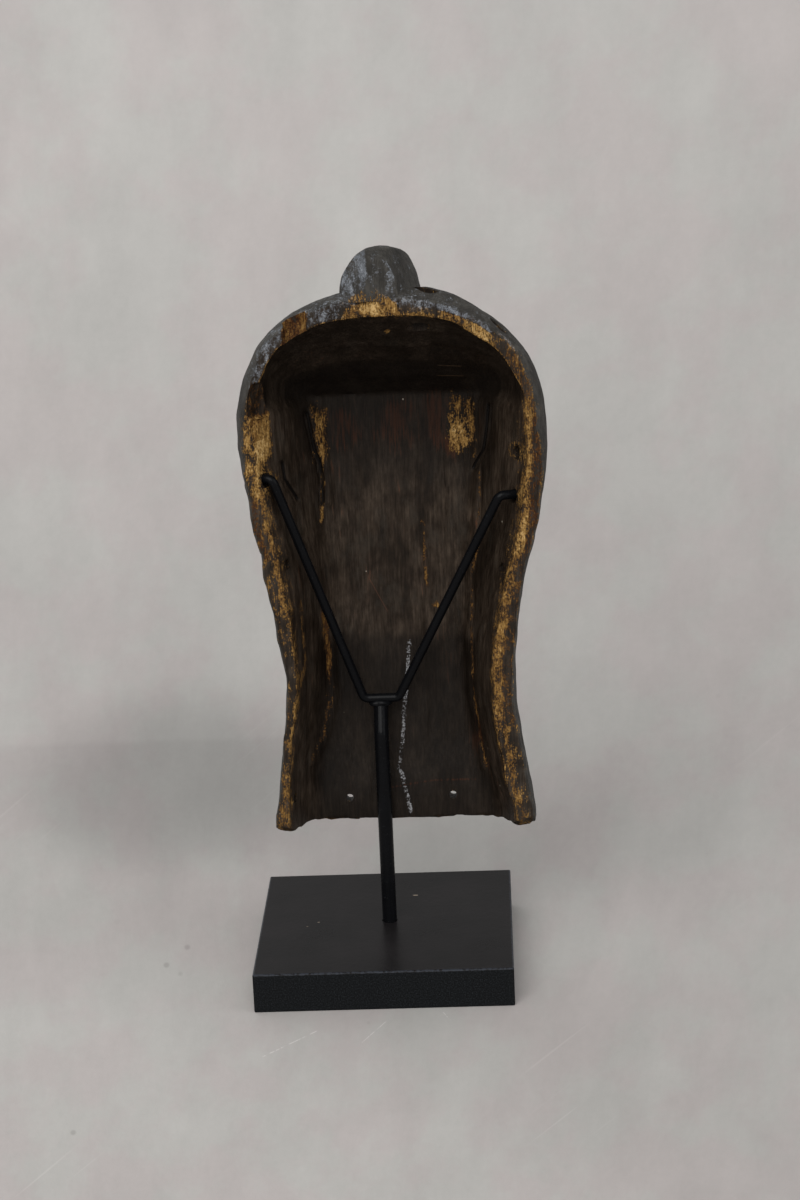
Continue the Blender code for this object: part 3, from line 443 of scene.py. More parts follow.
def fray_edges(points, region, across):
    """Uneven edges: a fuller dome, a wavering rim, and a few splinters gone from its sides."""
    x, d, z = points[:, 0] / MM, -points[:, 1] / MM, points[:, 2] / MM
    turn = np.degrees(np.arctan2(x, np.clip(z - SPRING * MASK_HEIGHT / MM, 0.0, None) + 1e-6))
    outer = np.where(region == OUTSIDE, 1.0, np.where(region == RIM, 1 - across, 0.0))
    fuller = 1.9 * band(turn, 2, 66, 14) + 1.2 * band(turn, -28, -2, 9)
    fuller += 2.2 * band(turn, -36, -4, 8) * smooth_step(d, 1.0, 11.0)
    fuller *= outer * np.exp(-np.clip(d, 0.0, None) / 45.0) * smooth_step(z, 30, 45)
    thicker = 3.0 * band(turn, -72, -34, 10) * (1 - outer) * np.exp(-np.clip(d, 0.0, None) / 9.0)
    thicker *= smooth_step(z, 44, 54)
    reach = np.radians(turn)
    points = points + np.stack([np.sin(reach), 0 * x, np.cos(reach)], -1) * (fuller - thicker)[:, None] * MM
    mm = np.stack([x, d, z], -1)
    near = np.exp(-np.clip(d, 0.0, None) / 7.0)
    side = np.sign(x)
    shift = 0.55 * rough(mm, (12, 30, 13), 12) + 0.30 * rough(mm, (5, 12, 5.5), 13)
    for where, top, fall, lost in ((1, 24, 10, 0.8), (1, -30, 16, 1.0), (-1, -22, 12, 1.1), (-1, -62, 9, 0.7),
                                   (1, -118, 14, 0.6), (-1, 34, 9, 0.6)):
        shift -= lost * (side == where) * band(z, top - fall, top, 0.6) * np.clip((z - top + fall) / fall, 0, 1)
    moved = points.copy()
    wider = 1.5 * (side > 0) * band(z, -84, -34, 12) + 2.0 * (side < 0) * band(z, -30, 26, 10)
    wider *= outer * np.exp(-np.clip(d, 0.0, None) / 30.0) * np.clip(np.abs(x) / 40, 0, 1)
    moved[:, 0] += side * (wider + shift * near * np.clip(np.abs(x) / 20, 0, 1)) * MM
    moved[:, 2] += shift * near * MM * smooth_step(z, 60, 95) * 0.6
    return moved


def loft(rings, caps=True):
    """Points and faces of a closed solid through rings of equal counts."""
    rings = np.asarray(rings, float)
    rows, count = rings.shape[:2]
    index = np.arange(rows * count).reshape(rows, count)
    onward = np.roll(index, -1, axis=1)
    faces = np.stack([index[:-1], onward[:-1], onward[1:], index[1:]], -1).reshape(-1, 4).tolist()
    if caps:
        faces += [index[0].tolist(), index[-1].tolist()]
    return rings.reshape(-1, 3), faces


def closed_profile(corners, count, soften):
    """A polygon's outline as many points, its corners eased by averaging."""
    corners = np.array(corners, float)
    run = np.concatenate([[0.0], np.cumsum(np.linalg.norm(np.diff(corners, axis=0), axis=1))])
    at = np.linspace(0.0, run[-1], count)
    line = np.stack([np.interp(at, run, corners[:, i]) for i in (0, 1)], -1)
    for _ in range(soften):
        line[1:-1] = (line[:-2] + 2 * line[1:-1] + line[2:]) / 4
    return line


def crest_solid():
    """Crest: a ridge from the rim's top over the forehead to the brow, with a two-sided end at the back."""
    turns = np.linspace(0.0, math.pi / 2, 66)
    heights = CROWN - (CROWN - CREST_FOOT) * (1 - np.cos(turns))
    line = np.array([(0.0, -outer_depth(min(h, CROWN)), h) for h in heights])
    line[0, 1] = -CREST_SETBACK
    end_profile, back_profile = (closed_profile(c, 60, n) for c, n in ((CREST_END, 1), (CREST_BACK, 3)))
    rings = []
    for i, point in enumerate(line):
        share = i / (len(line) - 1)
        turned = float(smooth_step(share, 0.0, CREST_BACK_FROM))
        profile = end_profile * (1 - turned) + back_profile * turned
        run = line[min(i + 1, len(line) - 1)] - line[max(i - 1, 0)]
        up = np.array([0.0, 0.0, 1.0]) if i == 0 else np.array([0.0, run[2], -run[1]])
        up = up / np.linalg.norm(up)
        up = up if up @ np.array([0.0, -0.4, 1.0]) > 0 else -up
        offset = CREST_OFFSET * (1 - float(smooth_step(share, 0.0, CREST_STRAIGHTENS)))
        offset -= CREST_VEER * float(band(share, 0.12, 0.62, 0.12))
        half = float(curve_through(CREST_WIDTH, share))
        high = float(curve_through(CREST_HEIGHT, share))
        middle = point + np.array([offset, 0.0, 0.0])
        rings.append([middle + np.array([side * half, 0.0, 0.0]) + up * rise * high for side, rise in profile])
    rings = np.array(rings)
    first = rings[0]
    ridge_x = CREST_OFFSET + 0.04 * CREST_WIDTH[0][1]
    end = []
    for t in (0.92, 0.66, 0.40, 0.16):
        ring = first.copy()
        ring[:, 0] = first[:, 0] + (ridge_x - first[:, 0]) * t
        ring[:, 1] += 0.0100 * t
        ring[:, 2] = CROWN + (first[:, 2] - CROWN) * (1 - 0.12 * t)
        end.append(ring)
    points, faces = loft(np.concatenate([np.array(end), rings]))
    return points * MASK_HEIGHT, faces


def face_point(x, height):
    """Point of the outer surface straight in front of a place on the rim plane."""
    depth = outer_depth(height)
    lean = OUTER_LEAN * float(curve_through(SIDE_SLANT, height))
    half = outline_half_width(height) - lean * (depth - BEVEL_DEPTH)
    square = float(curve_through(OUTER_SQUARE, height))
    return np.array([x, -depth * (1 - min(abs(x) / max(half, 1e-6), 1.0) ** square) ** (1 / square), height])


def nose_solid():
    """Nose: a narrow ridge under the brow that widens and rises to a flat-cut tip."""
    profile = closed_profile(NOSE_PROFILE, 36, 2)
    rings = []
    for share in np.linspace(0.0, 1.0, 34):
        height = NOSE_ROOT + (NOSE_TIP - NOSE_ROOT) * share
        half = NOSE_WIDTH[0] + (NOSE_WIDTH[1] - NOSE_WIDTH[0]) * share ** NOSE_FLARE
        high = NOSE_HEIGHT[0] + (NOSE_HEIGHT[1] - NOSE_HEIGHT[0]) * share
        foot = face_point(0.0, height)
        rings.append([foot + np.array([side * half, -rise * high, 0.0]) for side, rise in profile])
    points, faces = loft(rings)
    return points * MASK_HEIGHT, faces


def ball(segments, rows):
    """Points and faces of a unit ball."""
    bm = bmesh.new()
    bmesh.ops.create_uvsphere(bm, u_segments=segments, v_segments=rows, radius=1.0)
    points = np.array([v.co for v in bm.verts])
    faces = [[v.index for v in f.verts] for f in bm.faces]
    bm.free()
    return points, faces


def eye_solid(side):
    """One raised eyelid, an almond dome set on the face."""
    points, faces = ball(44, 28)
    pinch = 1 - EYE_PINCH * points[:, 0] ** 2
    deep = np.where(points[:, 1] < 0, EYE_SIZE[2], EYE_ROOT)
    shaped = points * np.stack([np.full(len(points), EYE_SIZE[0]), deep, EYE_SIZE[1] * pinch], -1)
    return (shaped + face_point(side * EYE_SPREAD, EYE_LEVEL)) * MASK_HEIGHT, faces


def slit_solid(side):
    """Cutter for the narrow slit across one eyelid."""
    points, faces = ball(36, 18)
    middle = face_point(side * EYE_SPREAD, EYE_LEVEL) + np.array([0.0, -EYE_SIZE[2], 0.0])
    return (points * np.array([EYE_SLIT[0], EYE_SLIT[2], EYE_SLIT[1]]) + middle) * MASK_HEIGHT, faces


def mouth_ring(wide, high, depth, sides=56):
    """Ring of a squared oval at the mouth."""
    turn = np.arange(sides) * 2 * math.pi / sides
    x = np.sign(np.cos(turn)) * np.abs(np.cos(turn)) ** (2 / MOUTH_SQUARE) * wide
    z = np.sign(np.sin(turn)) * np.abs(np.sin(turn)) ** (2 / MOUTH_SQUARE) * high
    return np.stack([x, np.full(sides, -depth), MOUTH_LEVEL + z], -1)


def mouth_solid():
    """Mouth: a squared tube that stands out from the face, its lips a little wider than its neck."""
    start = -face_point(0.0, MOUTH_LEVEL)[1]
    wide, high, reach = MOUTH_SIZE
    outs, grows = np.array(MOUTH_PROFILE).T
    fine = np.linspace(outs[0], outs[-1], 22)
    eased = np.interp(fine, outs, grows)
    eased[1:-1] = (eased[:-2] + 2 * eased[1:-1] + eased[2:]) / 4
    rings = [mouth_ring(wide * grow, high * grow, start + reach * out) for out, grow in zip(fine, eased)]
    points, faces = loft(rings)
    return points * MASK_HEIGHT, faces


def mouth_slot_solid():
    """Cutter for the mouth's blind slot."""
    front = -face_point(0.0, MOUTH_LEVEL)[1] + MOUTH_SIZE[2]
    wide, high, deep = MOUTH_SLOT
    rings = [mouth_ring(wide * grow, high * grow, front + out, 40)
             for out, grow in ((-deep, 0.78), (-deep * 0.9, 0.92), (-0.012, 0.97), (0.0, 1.08), (0.02, 1.3))]
    points, faces = loft(rings)
    return points * MASK_HEIGHT, faces


def bar_solid(start, end, radius, sides=20, flat=None, along=None):
    """Round or oval bar from start to end."""
    start, end = np.asarray(start, float), np.asarray(end, float)
    axis = (end - start) / np.linalg.norm(end - start)
    if along is None:
        along = np.cross(axis, [0.0, 0.0, 1.0] if abs(axis[2]) < 0.9 else [1.0, 0.0, 0.0])
    along = along / np.linalg.norm(along)
    beside = np.cross(axis, along)
    turn = (np.arange(sides) * 2 * math.pi / sides)[:, None]
    ring = along * np.cos(turn) * radius + beside * np.sin(turn) * (flat or radius)
    return loft([start + (end - start) * t + ring for t in np.linspace(0.0, 1.0, 12)])


def side_hole_solid(side, height, depth_m, diameter):
    """Cutter for a hole through one side wall, square to it."""
    drop = HOOK_DROP / MASK_HEIGHT if diameter == SIDE_HOLES[0][3] else 0.0
    height -= drop
    slant = float(curve_through(SIDE_SLANT, height))
    half = hollow_half_width(height) - slant * depth_m / MASK_HEIGHT
    x = side * half + float(curve_through(HOLLOW_SHIFT, height))
    middle = np.array([x * MASK_HEIGHT, -depth_m, height * MASK_HEIGHT])
    out = np.array([side, -slant, 0.0]) / math.hypot(1.0, slant)
    return bar_solid(middle - out * 0.010, middle + out * 0.045, diameter / 2)


def chin_hole_solid(x, height):
    """Cutter for a hole through the face wall near the chin's edge."""
    depth, z = outer_depth(height) * MASK_HEIGHT, height * MASK_HEIGHT
    return bar_solid((x, -depth + 0.030, z), (x, -depth - 0.010, z), CHIN_HOLE / 2, 16)


def crown_slot_solid(x, turn, depth):
    """Cutter for an oblong slot from the dome's outside down into the hollow."""
    out = np.array([math.sin(turn), SLOT_LEAN, math.cos(turn)])
    out /= np.linalg.norm(out)
    along = np.array([math.cos(turn), 0.0, -math.sin(turn)])
    rise = float(arch(abs(x) / (OUTLINE[-1][1] * MASK_HEIGHT), 0.0, 1.0, 1.0, OUTLINE_ARCH))
    middle = np.array([x, -depth, (SPRING + (CROWN - SPRING) * rise) * MASK_HEIGHT])
    return bar_solid(middle - out * 0.024, middle + out * 0.020, SLOT_SIZE[0] / 2, 24, SLOT_SIZE[1] / 2, along)


def break_solid(low, high, seed):
    """Cutter for a broken stretch of the rim: a rough-faced prism between two outlines."""
    rings = []
    lines = [closed_profile(corners + (corners[0],), 61, 2)[:-1] for _, corners in (low, high)]
    for t in np.linspace(0.0, 1.0, 30):
        outline = lines[0] * (1 - t) + lines[1] * t
        pinch = 1 - 0.34 * abs(2 * t - 1) ** 6
        outline = outline.mean(axis=0) + (outline - outline.mean(axis=0)) * pinch
        height = low[0] * (1 - t) + high[0] * t
        rings.append(np.stack([outline[:, 0], -outline[:, 1], np.full(len(outline), height)], -1))
    rings = np.array(rings) * MASK_HEIGHT
    centre = rings.mean(axis=(0, 1))
    flat = rings.reshape(-1, 3)
    fracture = 0.0016 * rough(flat / MM, (6, 6, 10), 20 + seed)
    fracture += 0.0007 * rough(flat / MM, (2.2, 2.2, 5), 30 + seed)
    away = (flat - centre) / np.linalg.norm(flat - centre, axis=1)[:, None]
    keep = np.clip((-flat[:, 1] / MM - 0.3) / 1.5, 0.15, 1.0)[:, None]
    return loft((flat + away * fracture[:, None] * keep).reshape(rings.shape))


def linked_object(name, points, faces):
    """New object in the scene from points and faces, its faces turned outward."""
    mesh = bpy.data.meshes.new(name)
    mesh.from_pydata(np.asarray(points).tolist(), [], faces)
    mesh.validate()
    bm = bmesh.new()
    bm.from_mesh(mesh)
    bmesh.ops.recalc_face_normals(bm, faces=bm.faces[:])
    if bm.calc_volume(signed=True) < 0:
        bmesh.ops.reverse_faces(bm, faces=bm.faces[:])
    bm.to_mesh(mesh)
    bm.free()
    made = bpy.data.objects.new(name, mesh)
    bpy.context.scene.collection.objects.link(made)
    return made


def rim_wear(x, z, across):
    """Bare wood, its brightness, and blue-grey chalk on the rim, by place along and across it."""
    inner = smooth_step(across, 0.60, 0.80)
    outer = 1 - smooth_step(across, 0.30, 0.62)
    bare, tone, chalk = np.full(len(x), 0.50), np.full(len(x), 0.48), np.zeros(len(x))

    def lay(where, new_bare, new_tone, new_chalk=0.0):
        bare[:] = bare * (1 - where) + new_bare * where
        tone[:] = tone * (1 - where) + new_tone * where
        chalk[:] = chalk * (1 - where) + new_chalk * where

    left, right = np.where(x > 0, 1.0, 0.0), np.where(x <= 0, 1.0, 0.0)
    top = smooth_step(z, 78, 84)
    lay(left * band(z, -190, -150, 8), 0.48, 0.36)
    lay(left * band(z, -150, -60, 8), 0.30, 0.26)
    lay(left * band(z, -150, -60, 8) * inner, 0.54, 0.48)
    lay(left * band(z, -106, -84, 5), 0.18, 0.30)
    lay(left * band(z, -60, 2, 6), 0.34, 0.30)
    lay(left * band(z, -60, 2, 6) * inner, 0.68, 0.48)
    lay(left * band(z, -34, 0, 4) * outer, 0.52, 0.12)
    lay(left * band(z, 2, 47, 4), 0.58, 0.52)
    lay(left * band(z, 47, 66, 4), 0.26, 0.34, 0.20)
    lay(left * band(z, 60, 96, 4) * band(x, 36, 90, 3), 0.12, 0.26, 0.50)
    lay(left * band(z, 60, 96, 4) * band(x, 36, 90, 3) * smooth_step(across, 0.80, 0.97), 0.48, 0.34, 0.05)
    lay(band(x, 23, 40, 2.0) * top, 0.10, 0.36, 0.46)
    lay(band(x, 23, 42, 2.5) * top * smooth_step(across, 0.86, 0.98), 0.46, 0.45)
    dome = smooth_step(across, 0.10 + 0.40 * ((x - 9) / 13) ** 2, 0.26 + 0.40 * ((x - 9) / 13) ** 2)
    lay(band(x, -8, 23, 2.0) * top, 0.20, 0.40, 0.42)
    lay(band(x, -1, 23, 1.0) * top * dome, 0.66, 0.48)
    lay(spot(x, across, (6.8, 0.55), (6.5, 0.5), 0.5) * top, 0.80, 0.74)
    lay(band(x, -5.6, -2.8, 0.5) * top * smooth_step(across, 0.1, 0.25), 0.86, 0.62)
    lay(band(x, -30, -8, 2.0) * top, 0.34, 0.44, 0.20)
    lay(band(x, -30, -8, 2.0) * top * smooth_step(across, 0.70, 0.92), 0.70, 0.60)
    lay(band(x, -30, -7, 2.0) * top * outer, 0.14, 0.40, 0.50)
    lay(band(x, -43, -28, 2.5) * smooth_step(z, 70, 76), 0.56, 0.42)
    lay(band(x, -43, -22, 2.5) * smooth_step(z, 70, 76) * (1 - smooth_step(across, 0.34, 0.5)), 0.06, 0.4, 0.66)
    lay(band(x, -55, -42, 2.0) * smooth_step(z, 68, 74), 0.78, 0.76)
    lay(band(x, -55, -40, 2.0) * smooth_step(z, 68, 74) * (1 - smooth_step(across, 0.26, 0.4)), 0.1, 0.4, 0.6)
    lay(right * band(z, 42, 76, 4) * band(x, -90, -54, 2), 0.50, 0.26, 0.04)
    lay(right * band(z, -36, 42, 4), 0.54, 0.14)
    lay(right * band(z, -36, 42, 4) * smooth_step(across, 0.50, 0.70), 0.66, 0.54)
    lay(right * band(z, 30, 44, 4) * smooth_step(across, 0.30, 0.5), 0.74, 0.60)
    lay(right * band(z, -128, -34, 5), 0.36, 0.16)
    lay(right * band(z, -128, -34, 5) * smooth_step(across, 0.42, 0.66), 0.68, 0.50)
    lay(right * band(z, -34, -16, 4) * smooth_step(across, 0.30, 0.5), 0.80, 0.72)
    lay(right * band(z, -190, -128, 5), 0.26, 0.34)
    lay(right * band(z, -190, -128, 5) * band(across, 0.50, 0.80, 0.12), 0.60, 0.42)
    return bare, tone, chalk


def paint(points, region, across, furrow):
    """Wear, and painted shade with stain, at each point: two sets of three values, and the point's place in the
    mask in mm.
    """
    x, d, z = points[:, 0] / MM, -points[:, 1] / MM, points[:, 2] / MM
    mm = np.stack([x, d, z], -1)
    rim_bare, rim_tone, rim_chalk = rim_wear(x, z, across)
    edge = np.exp(-np.clip(d, 0.0, None) / 1.7)
    deep = smooth_step(d, 34, 44)

    bare, tone, chalk, painted_shade, rust = (np.zeros(len(x)) for _ in range(5))

    def lay(where, new_bare, new_tone):
        bare[:] = np.maximum(bare, where * new_bare)
        tone[:] = tone * (1 - where) + new_tone * where

    inside = (region == HOLLOW).astype(float)
    lay(inside * edge, 0.58, 0.50)
    lay(inside * spot(x, z, (70.5, 29), (7.5, 17.5), 0.12) * (1 - smooth_step(d, 13, 19)), 1.0, 0.84)
    lay(inside * deep * band(x, -43.5, -28.5, 2.0) * band(z, 12, 45, 6), 0.52, 0.38)
    lay(inside * deep * spot(x, z, (-34.5, 22), (6.0, 11), 0.6), 0.64, 0.54)
    lay(inside * deep * spot(x, z, (-31.0, 26), (1.6, 4), 0.6), 0.95, 0.80)
    lay(inside * deep * band(x, 36.5, 46, 1.2) * band(z, 12, 42, 5), 0.46, 0.32)
    lay(inside * near_line(x, z, ((-24, 42.2), (12, 40.0), (24, 41.5), (36, 42.5)), 1.1), 0.72, 0.54)
    lay(inside * near_line(x, z, LEFT_STRIPE, 1.7) * (0.55 + 0.45 * smooth_step(z, -112, -98)), 0.72, 0.34)
    lay(inside * near_line(x, z, RIGHT_CREASE, 0.8), 0.50, 0.26)
    lay(inside * near_line(x, z, ((-106, 53.4), (-92, 51.3), (-58, 52.9)), 0.7), 0.46, 0.32)
    lay(inside * near_line(x, z, AMBER_STRIPE, 0.9), 0.55, 0.35)
    lay(inside * spot(x, z, (-18.4, -71), (2.6, 2.0)), 0.60, 0.38)
    lay(inside * spot(x, d, (0.2, 14.1), (1.6, 1.6)) * (z > 70), 1.0, 0.70)
    for hook_x, hook_z in ((66.0, 8.0), (-66.5, -4.0), (-65.5, 19.0)):
        lay(inside * (spot(x, z, (hook_x, hook_z), (4.6, 4.6)) - spot(x, z, (hook_x, hook_z), (3.2, 3.2))),
            0.8, 0.66)
    rust += inside * deep * band(z, 16, 46, 9) * band(x, -32, 34, 6) * 0.42
    rust += inside * deep * spot(x, z, (-31, 14), (6, 8), 0.6) * 0.5
    rust += inside * band(z, -168, -120, 12) * spot(x, z, (-40, -150), (7, 22)) * 0.35
    rust += inside * 0.28 * smooth_step(rough(mm, (9, 9, 40), 41), 0.1, 0.8)
    # Painted shade: over the ceiling, on the face wall's foot and the dark line above it, on the face wall's top
    # under the ceiling, and in a patch at the ceiling's left by the rim.
    painted_shade += inside * smooth_step(z, 44, 50) * 0.50
    painted_shade += inside * (1 - smooth_step(z, -97, -84)) * 0.90 * deep
    painted_shade += inside * band(z, -92, -86, 3.5) * 0.35 * deep
    painted_shade += inside * smooth_step(z, -24, 34) * 0.88 * deep
    painted_shade += inside * spot(x, z, (66, 50), (11, 10)) * (1 - smooth_step(d, 14, 20)) * 0.6
    on_rim = region == RIM
    bare, tone, chalk = (np.where(on_rim, new, old) for new, old in
                         ((rim_bare, bare), (rim_tone, tone), (rim_chalk, chalk)))
    outside = (region == OUTSIDE).astype(float)
    bare += outside * (0.75 * np.exp(-np.clip(d, 0.0, None) / 2.6) * rim_bare)
    tone = np.where(region == OUTSIDE, 0.42, tone)
    near_rim = np.exp(-np.clip(d, 0.0, None) / 9.0)
    chalk += outside * (0.52 * furrow + 0.46 * near_rim * smooth_step(z, 45, 66) * (x > 0))
    chalk += outside * 0.34 * near_rim * smooth_step(z, 60, 80) * (x <= 0)
    wear = np.stack([bare, tone, chalk], -1)
    stain = np.stack([np.clip(painted_shade, 0, 1), np.clip(rust, 0, 1), outside + 0.32 * on_rim], -1)
    return wear, stain, mm


def carve_mask():
    """The carved mask as one closed mesh with its paint attributes, in its own axes."""
    points, faces, region, across, furrow = shell_mesh()
    points = fray_edges(points, region, across)
    points = points + normals_of(points, faces) * shell_relief(points, region, across)[:, None]
    wear, stain, mm = paint(points, region, across, furrow)
    sources = [(points, wear, stain)]
    shell = linked_object("mask_carved", points, faces)
    steps = [(crest_solid(), "UNION", "crest"), (nose_solid(), "UNION", "nose")]
    for side in (1, -1):
        steps += [(eye_solid(side), "UNION", "lid"), (slit_solid(side), "DIFFERENCE", "cut")]
    steps += [(mouth_solid(), "UNION", "mouth"), (mouth_slot_solid(), "DIFFERENCE", "cut")]
    steps += [(side_hole_solid(*hole), "DIFFERENCE", "hole") for hole in SIDE_HOLES]
    steps += [(chin_hole_solid(*tie), "DIFFERENCE", "hole") for tie in CHIN_TIES]
    steps += [(crown_slot_solid(*slot), "DIFFERENCE", "hole") for slot in CROWN_SLOTS]
    steps += [(break_solid(low, high, n), "DIFFERENCE", "break") for n, (low, high) in enumerate(BREAKS)]
    guides = []
    for number, ((made, made_faces), operation, kind) in enumerate(steps):
        if operation == "UNION":
            out = normals_of(made, made_faces)
            flip = -1.0 if ((made - made.mean(axis=0)) * out).sum() < 0 else 1.0
            local = made / MM
            dents = 0.22 * rough(local, (6, 6, 8), 50) + 0.10 * rough(local, (2.4, 2.4, 4), 51)
            made = made + out * flip * dents[:, None] * MM
        guide = linked_object("guide_%d" % number, made, made_faces)
        guides.append(guide)
        step = shell.modifiers.new("step_%d" % number, "BOOLEAN")
        step.operation, step.solver, step.object = operation, "MANIFOLD", guide
        sources.append((made, *feature_paint(made, kind)))
    bpy.context.view_layer.update()
    merged = bpy.data.meshes.new_from_object(shell.evaluated_get(bpy.context.evaluated_depsgraph_get()))
    shell.modifiers.clear()
    for guide in guides:
        bpy.data.objects.remove(guide)
    if len(merged.vertices) < len(points) // 2:
        raise RuntimeError("the mask's carving steps lost most of the shell")
    shell.data = merged
    carry_paint(merged, sources)
    return shell


def feature_paint(points, kind):
    """Wear, and painted shade with stain, of a carved feature or of a cut surface."""
    count = len(points)
    x, d, z = points[:, 0] / MM, -points[:, 1] / MM, points[:, 2] / MM
    wear, stain = np.zeros((count, 3)), np.zeros((count, 3))
    wear[:, 1], stain[:, 2] = 0.40, 1.0
    if kind == "crest":
        end = smooth_step(-d, -1.6, -0.4)
        # The extra chalk on the left facet is painted light, as from the key on the left. Of the two added bands,
        # the one beside the ridge is whitish chalk and the one at the right edge is a painted highlight.
        left = smooth_step(x, 9.0, 9.8)
        wear[:, 2] = end * (0.24 + 0.36 * left) + 0.16 * (1 - end)
        wear[:, 2] += end * 0.30 * (band(x, 9.4, 11.8, 0.5) + band(x, -5.5, -2.0, 1.0))
        rise = z - CROWN * MASK_HEIGHT / MM + 8 * ((x - 9) / 13) ** 2
        foot = end * (1 - smooth_step(rise, -0.5, 2.5))
        wear[:, 0], wear[:, 1] = foot * 0.50, 0.40 + foot * 0.06
        wear[:, 2] *= 1 - 0.8 * foot
    elif kind == "nose":
        wear[:, 0] = 0.30 * smooth_step(d, 88, 98)
    elif kind == "mouth":
        wear[:, 0] = 0.22 * smooth_step(d, 82, 92)
    elif kind == "hole":
        # Painted shade inside the holes.
        wear[:, :2], stain[:] = (0.20, 0.30), (0.75, 0.0, 0.0)
    elif kind == "break":
        facet = z > 74
        low = 1 - smooth_step(z, 41.5, 44.0)
        wear[:, 0] = np.where(facet, 0.80, 0.44 + 0.46 * low)
        wear[:, 1] = np.where(facet, 0.26, 0.14 + 0.40 * low)
        stain[:] = 0.0
        # A little painted shade on the breaks above 44 mm, off their top facet.
        stain[:, 0] = np.where(facet, 0.0, 0.12 * (1 - low))
    return wear, stain


def carry_paint(mesh, sources):
    """Give every vertex the wear, and the painted shade with stain, of the nearest source point, and its own place
    in mm.
    """
    count = sum(len(s[0]) for s in sources)
    tree = kdtree.KDTree(count)
    wear, stain = (np.concatenate([s[i] for s in sources]) for i in (1, 2))
    for i, point in enumerate(itertools.chain(*(s[0].tolist() for s in sources))):
        tree.insert(point, i)
    tree.balance()
    nearest = np.array([tree.find(v.co)[1] for v in mesh.vertices])
    places = np.zeros(len(mesh.vertices) * 3)
    mesh.vertices.foreach_get("co", places)
    for name, values in (("wear", wear[nearest]), ("stain", stain[nearest]),
                         ("place", places.reshape(-1, 3) / MM)):
        layer = mesh.attributes.new(name, "FLOAT_VECTOR", "POINT")
        layer.data.foreach_set("vector", np.ascontiguousarray(values, np.float32).reshape(-1))


class Wire:
    """A node's output with arithmetic: an expression on wires and numbers adds its Math nodes."""

    def __init__(self, shader, socket):
        self.shader, self.socket = shader, socket

    def math(self, operation, *others):
        values = dict(enumerate((self, *others)))
        return self.shader.node("ShaderNodeMath", {"operation": operation}, values)

    def flipped(self, operation, other):
        return self.shader.node("ShaderNodeMath", {"operation": operation}, {0: other, 1: self})

    def __add__(self, other):
        return self.math("ADD", other)

    def __sub__(self, other):
        return self.math("SUBTRACT", other)

    def __mul__(self, other):
        return self.math("MULTIPLY", other)

    def __truediv__(self, other):
        return self.math("DIVIDE", other)

    def __pow__(self, other):
        return self.math("POWER", other)

    def __rsub__(self, other):
        return self.flipped("SUBTRACT", other)

    def __rtruediv__(self, other):
        return self.flipped("DIVIDE", other)

    __radd__, __rmul__ = __add__, __mul__

    def step(self, low, high):
        """0 below low, 1 above high, smoothly between; reversed where low is above high."""
        rising = low < high
        settings = {"interpolation_type": "SMOOTHSTEP"}
        ends = {1: min(low, high), 2: max(low, high), 3: 0.0 if rising else 1.0, 4: 1.0 if rising else 0.0}
        return self.shader.node("ShaderNodeMapRange", settings, {0: self, **ends})

    def held(self):
        """The value kept between 0 and 1."""
        return self.shader.node("ShaderNodeClamp", {}, {0: self, 1: 0.0, 2: 1.0})


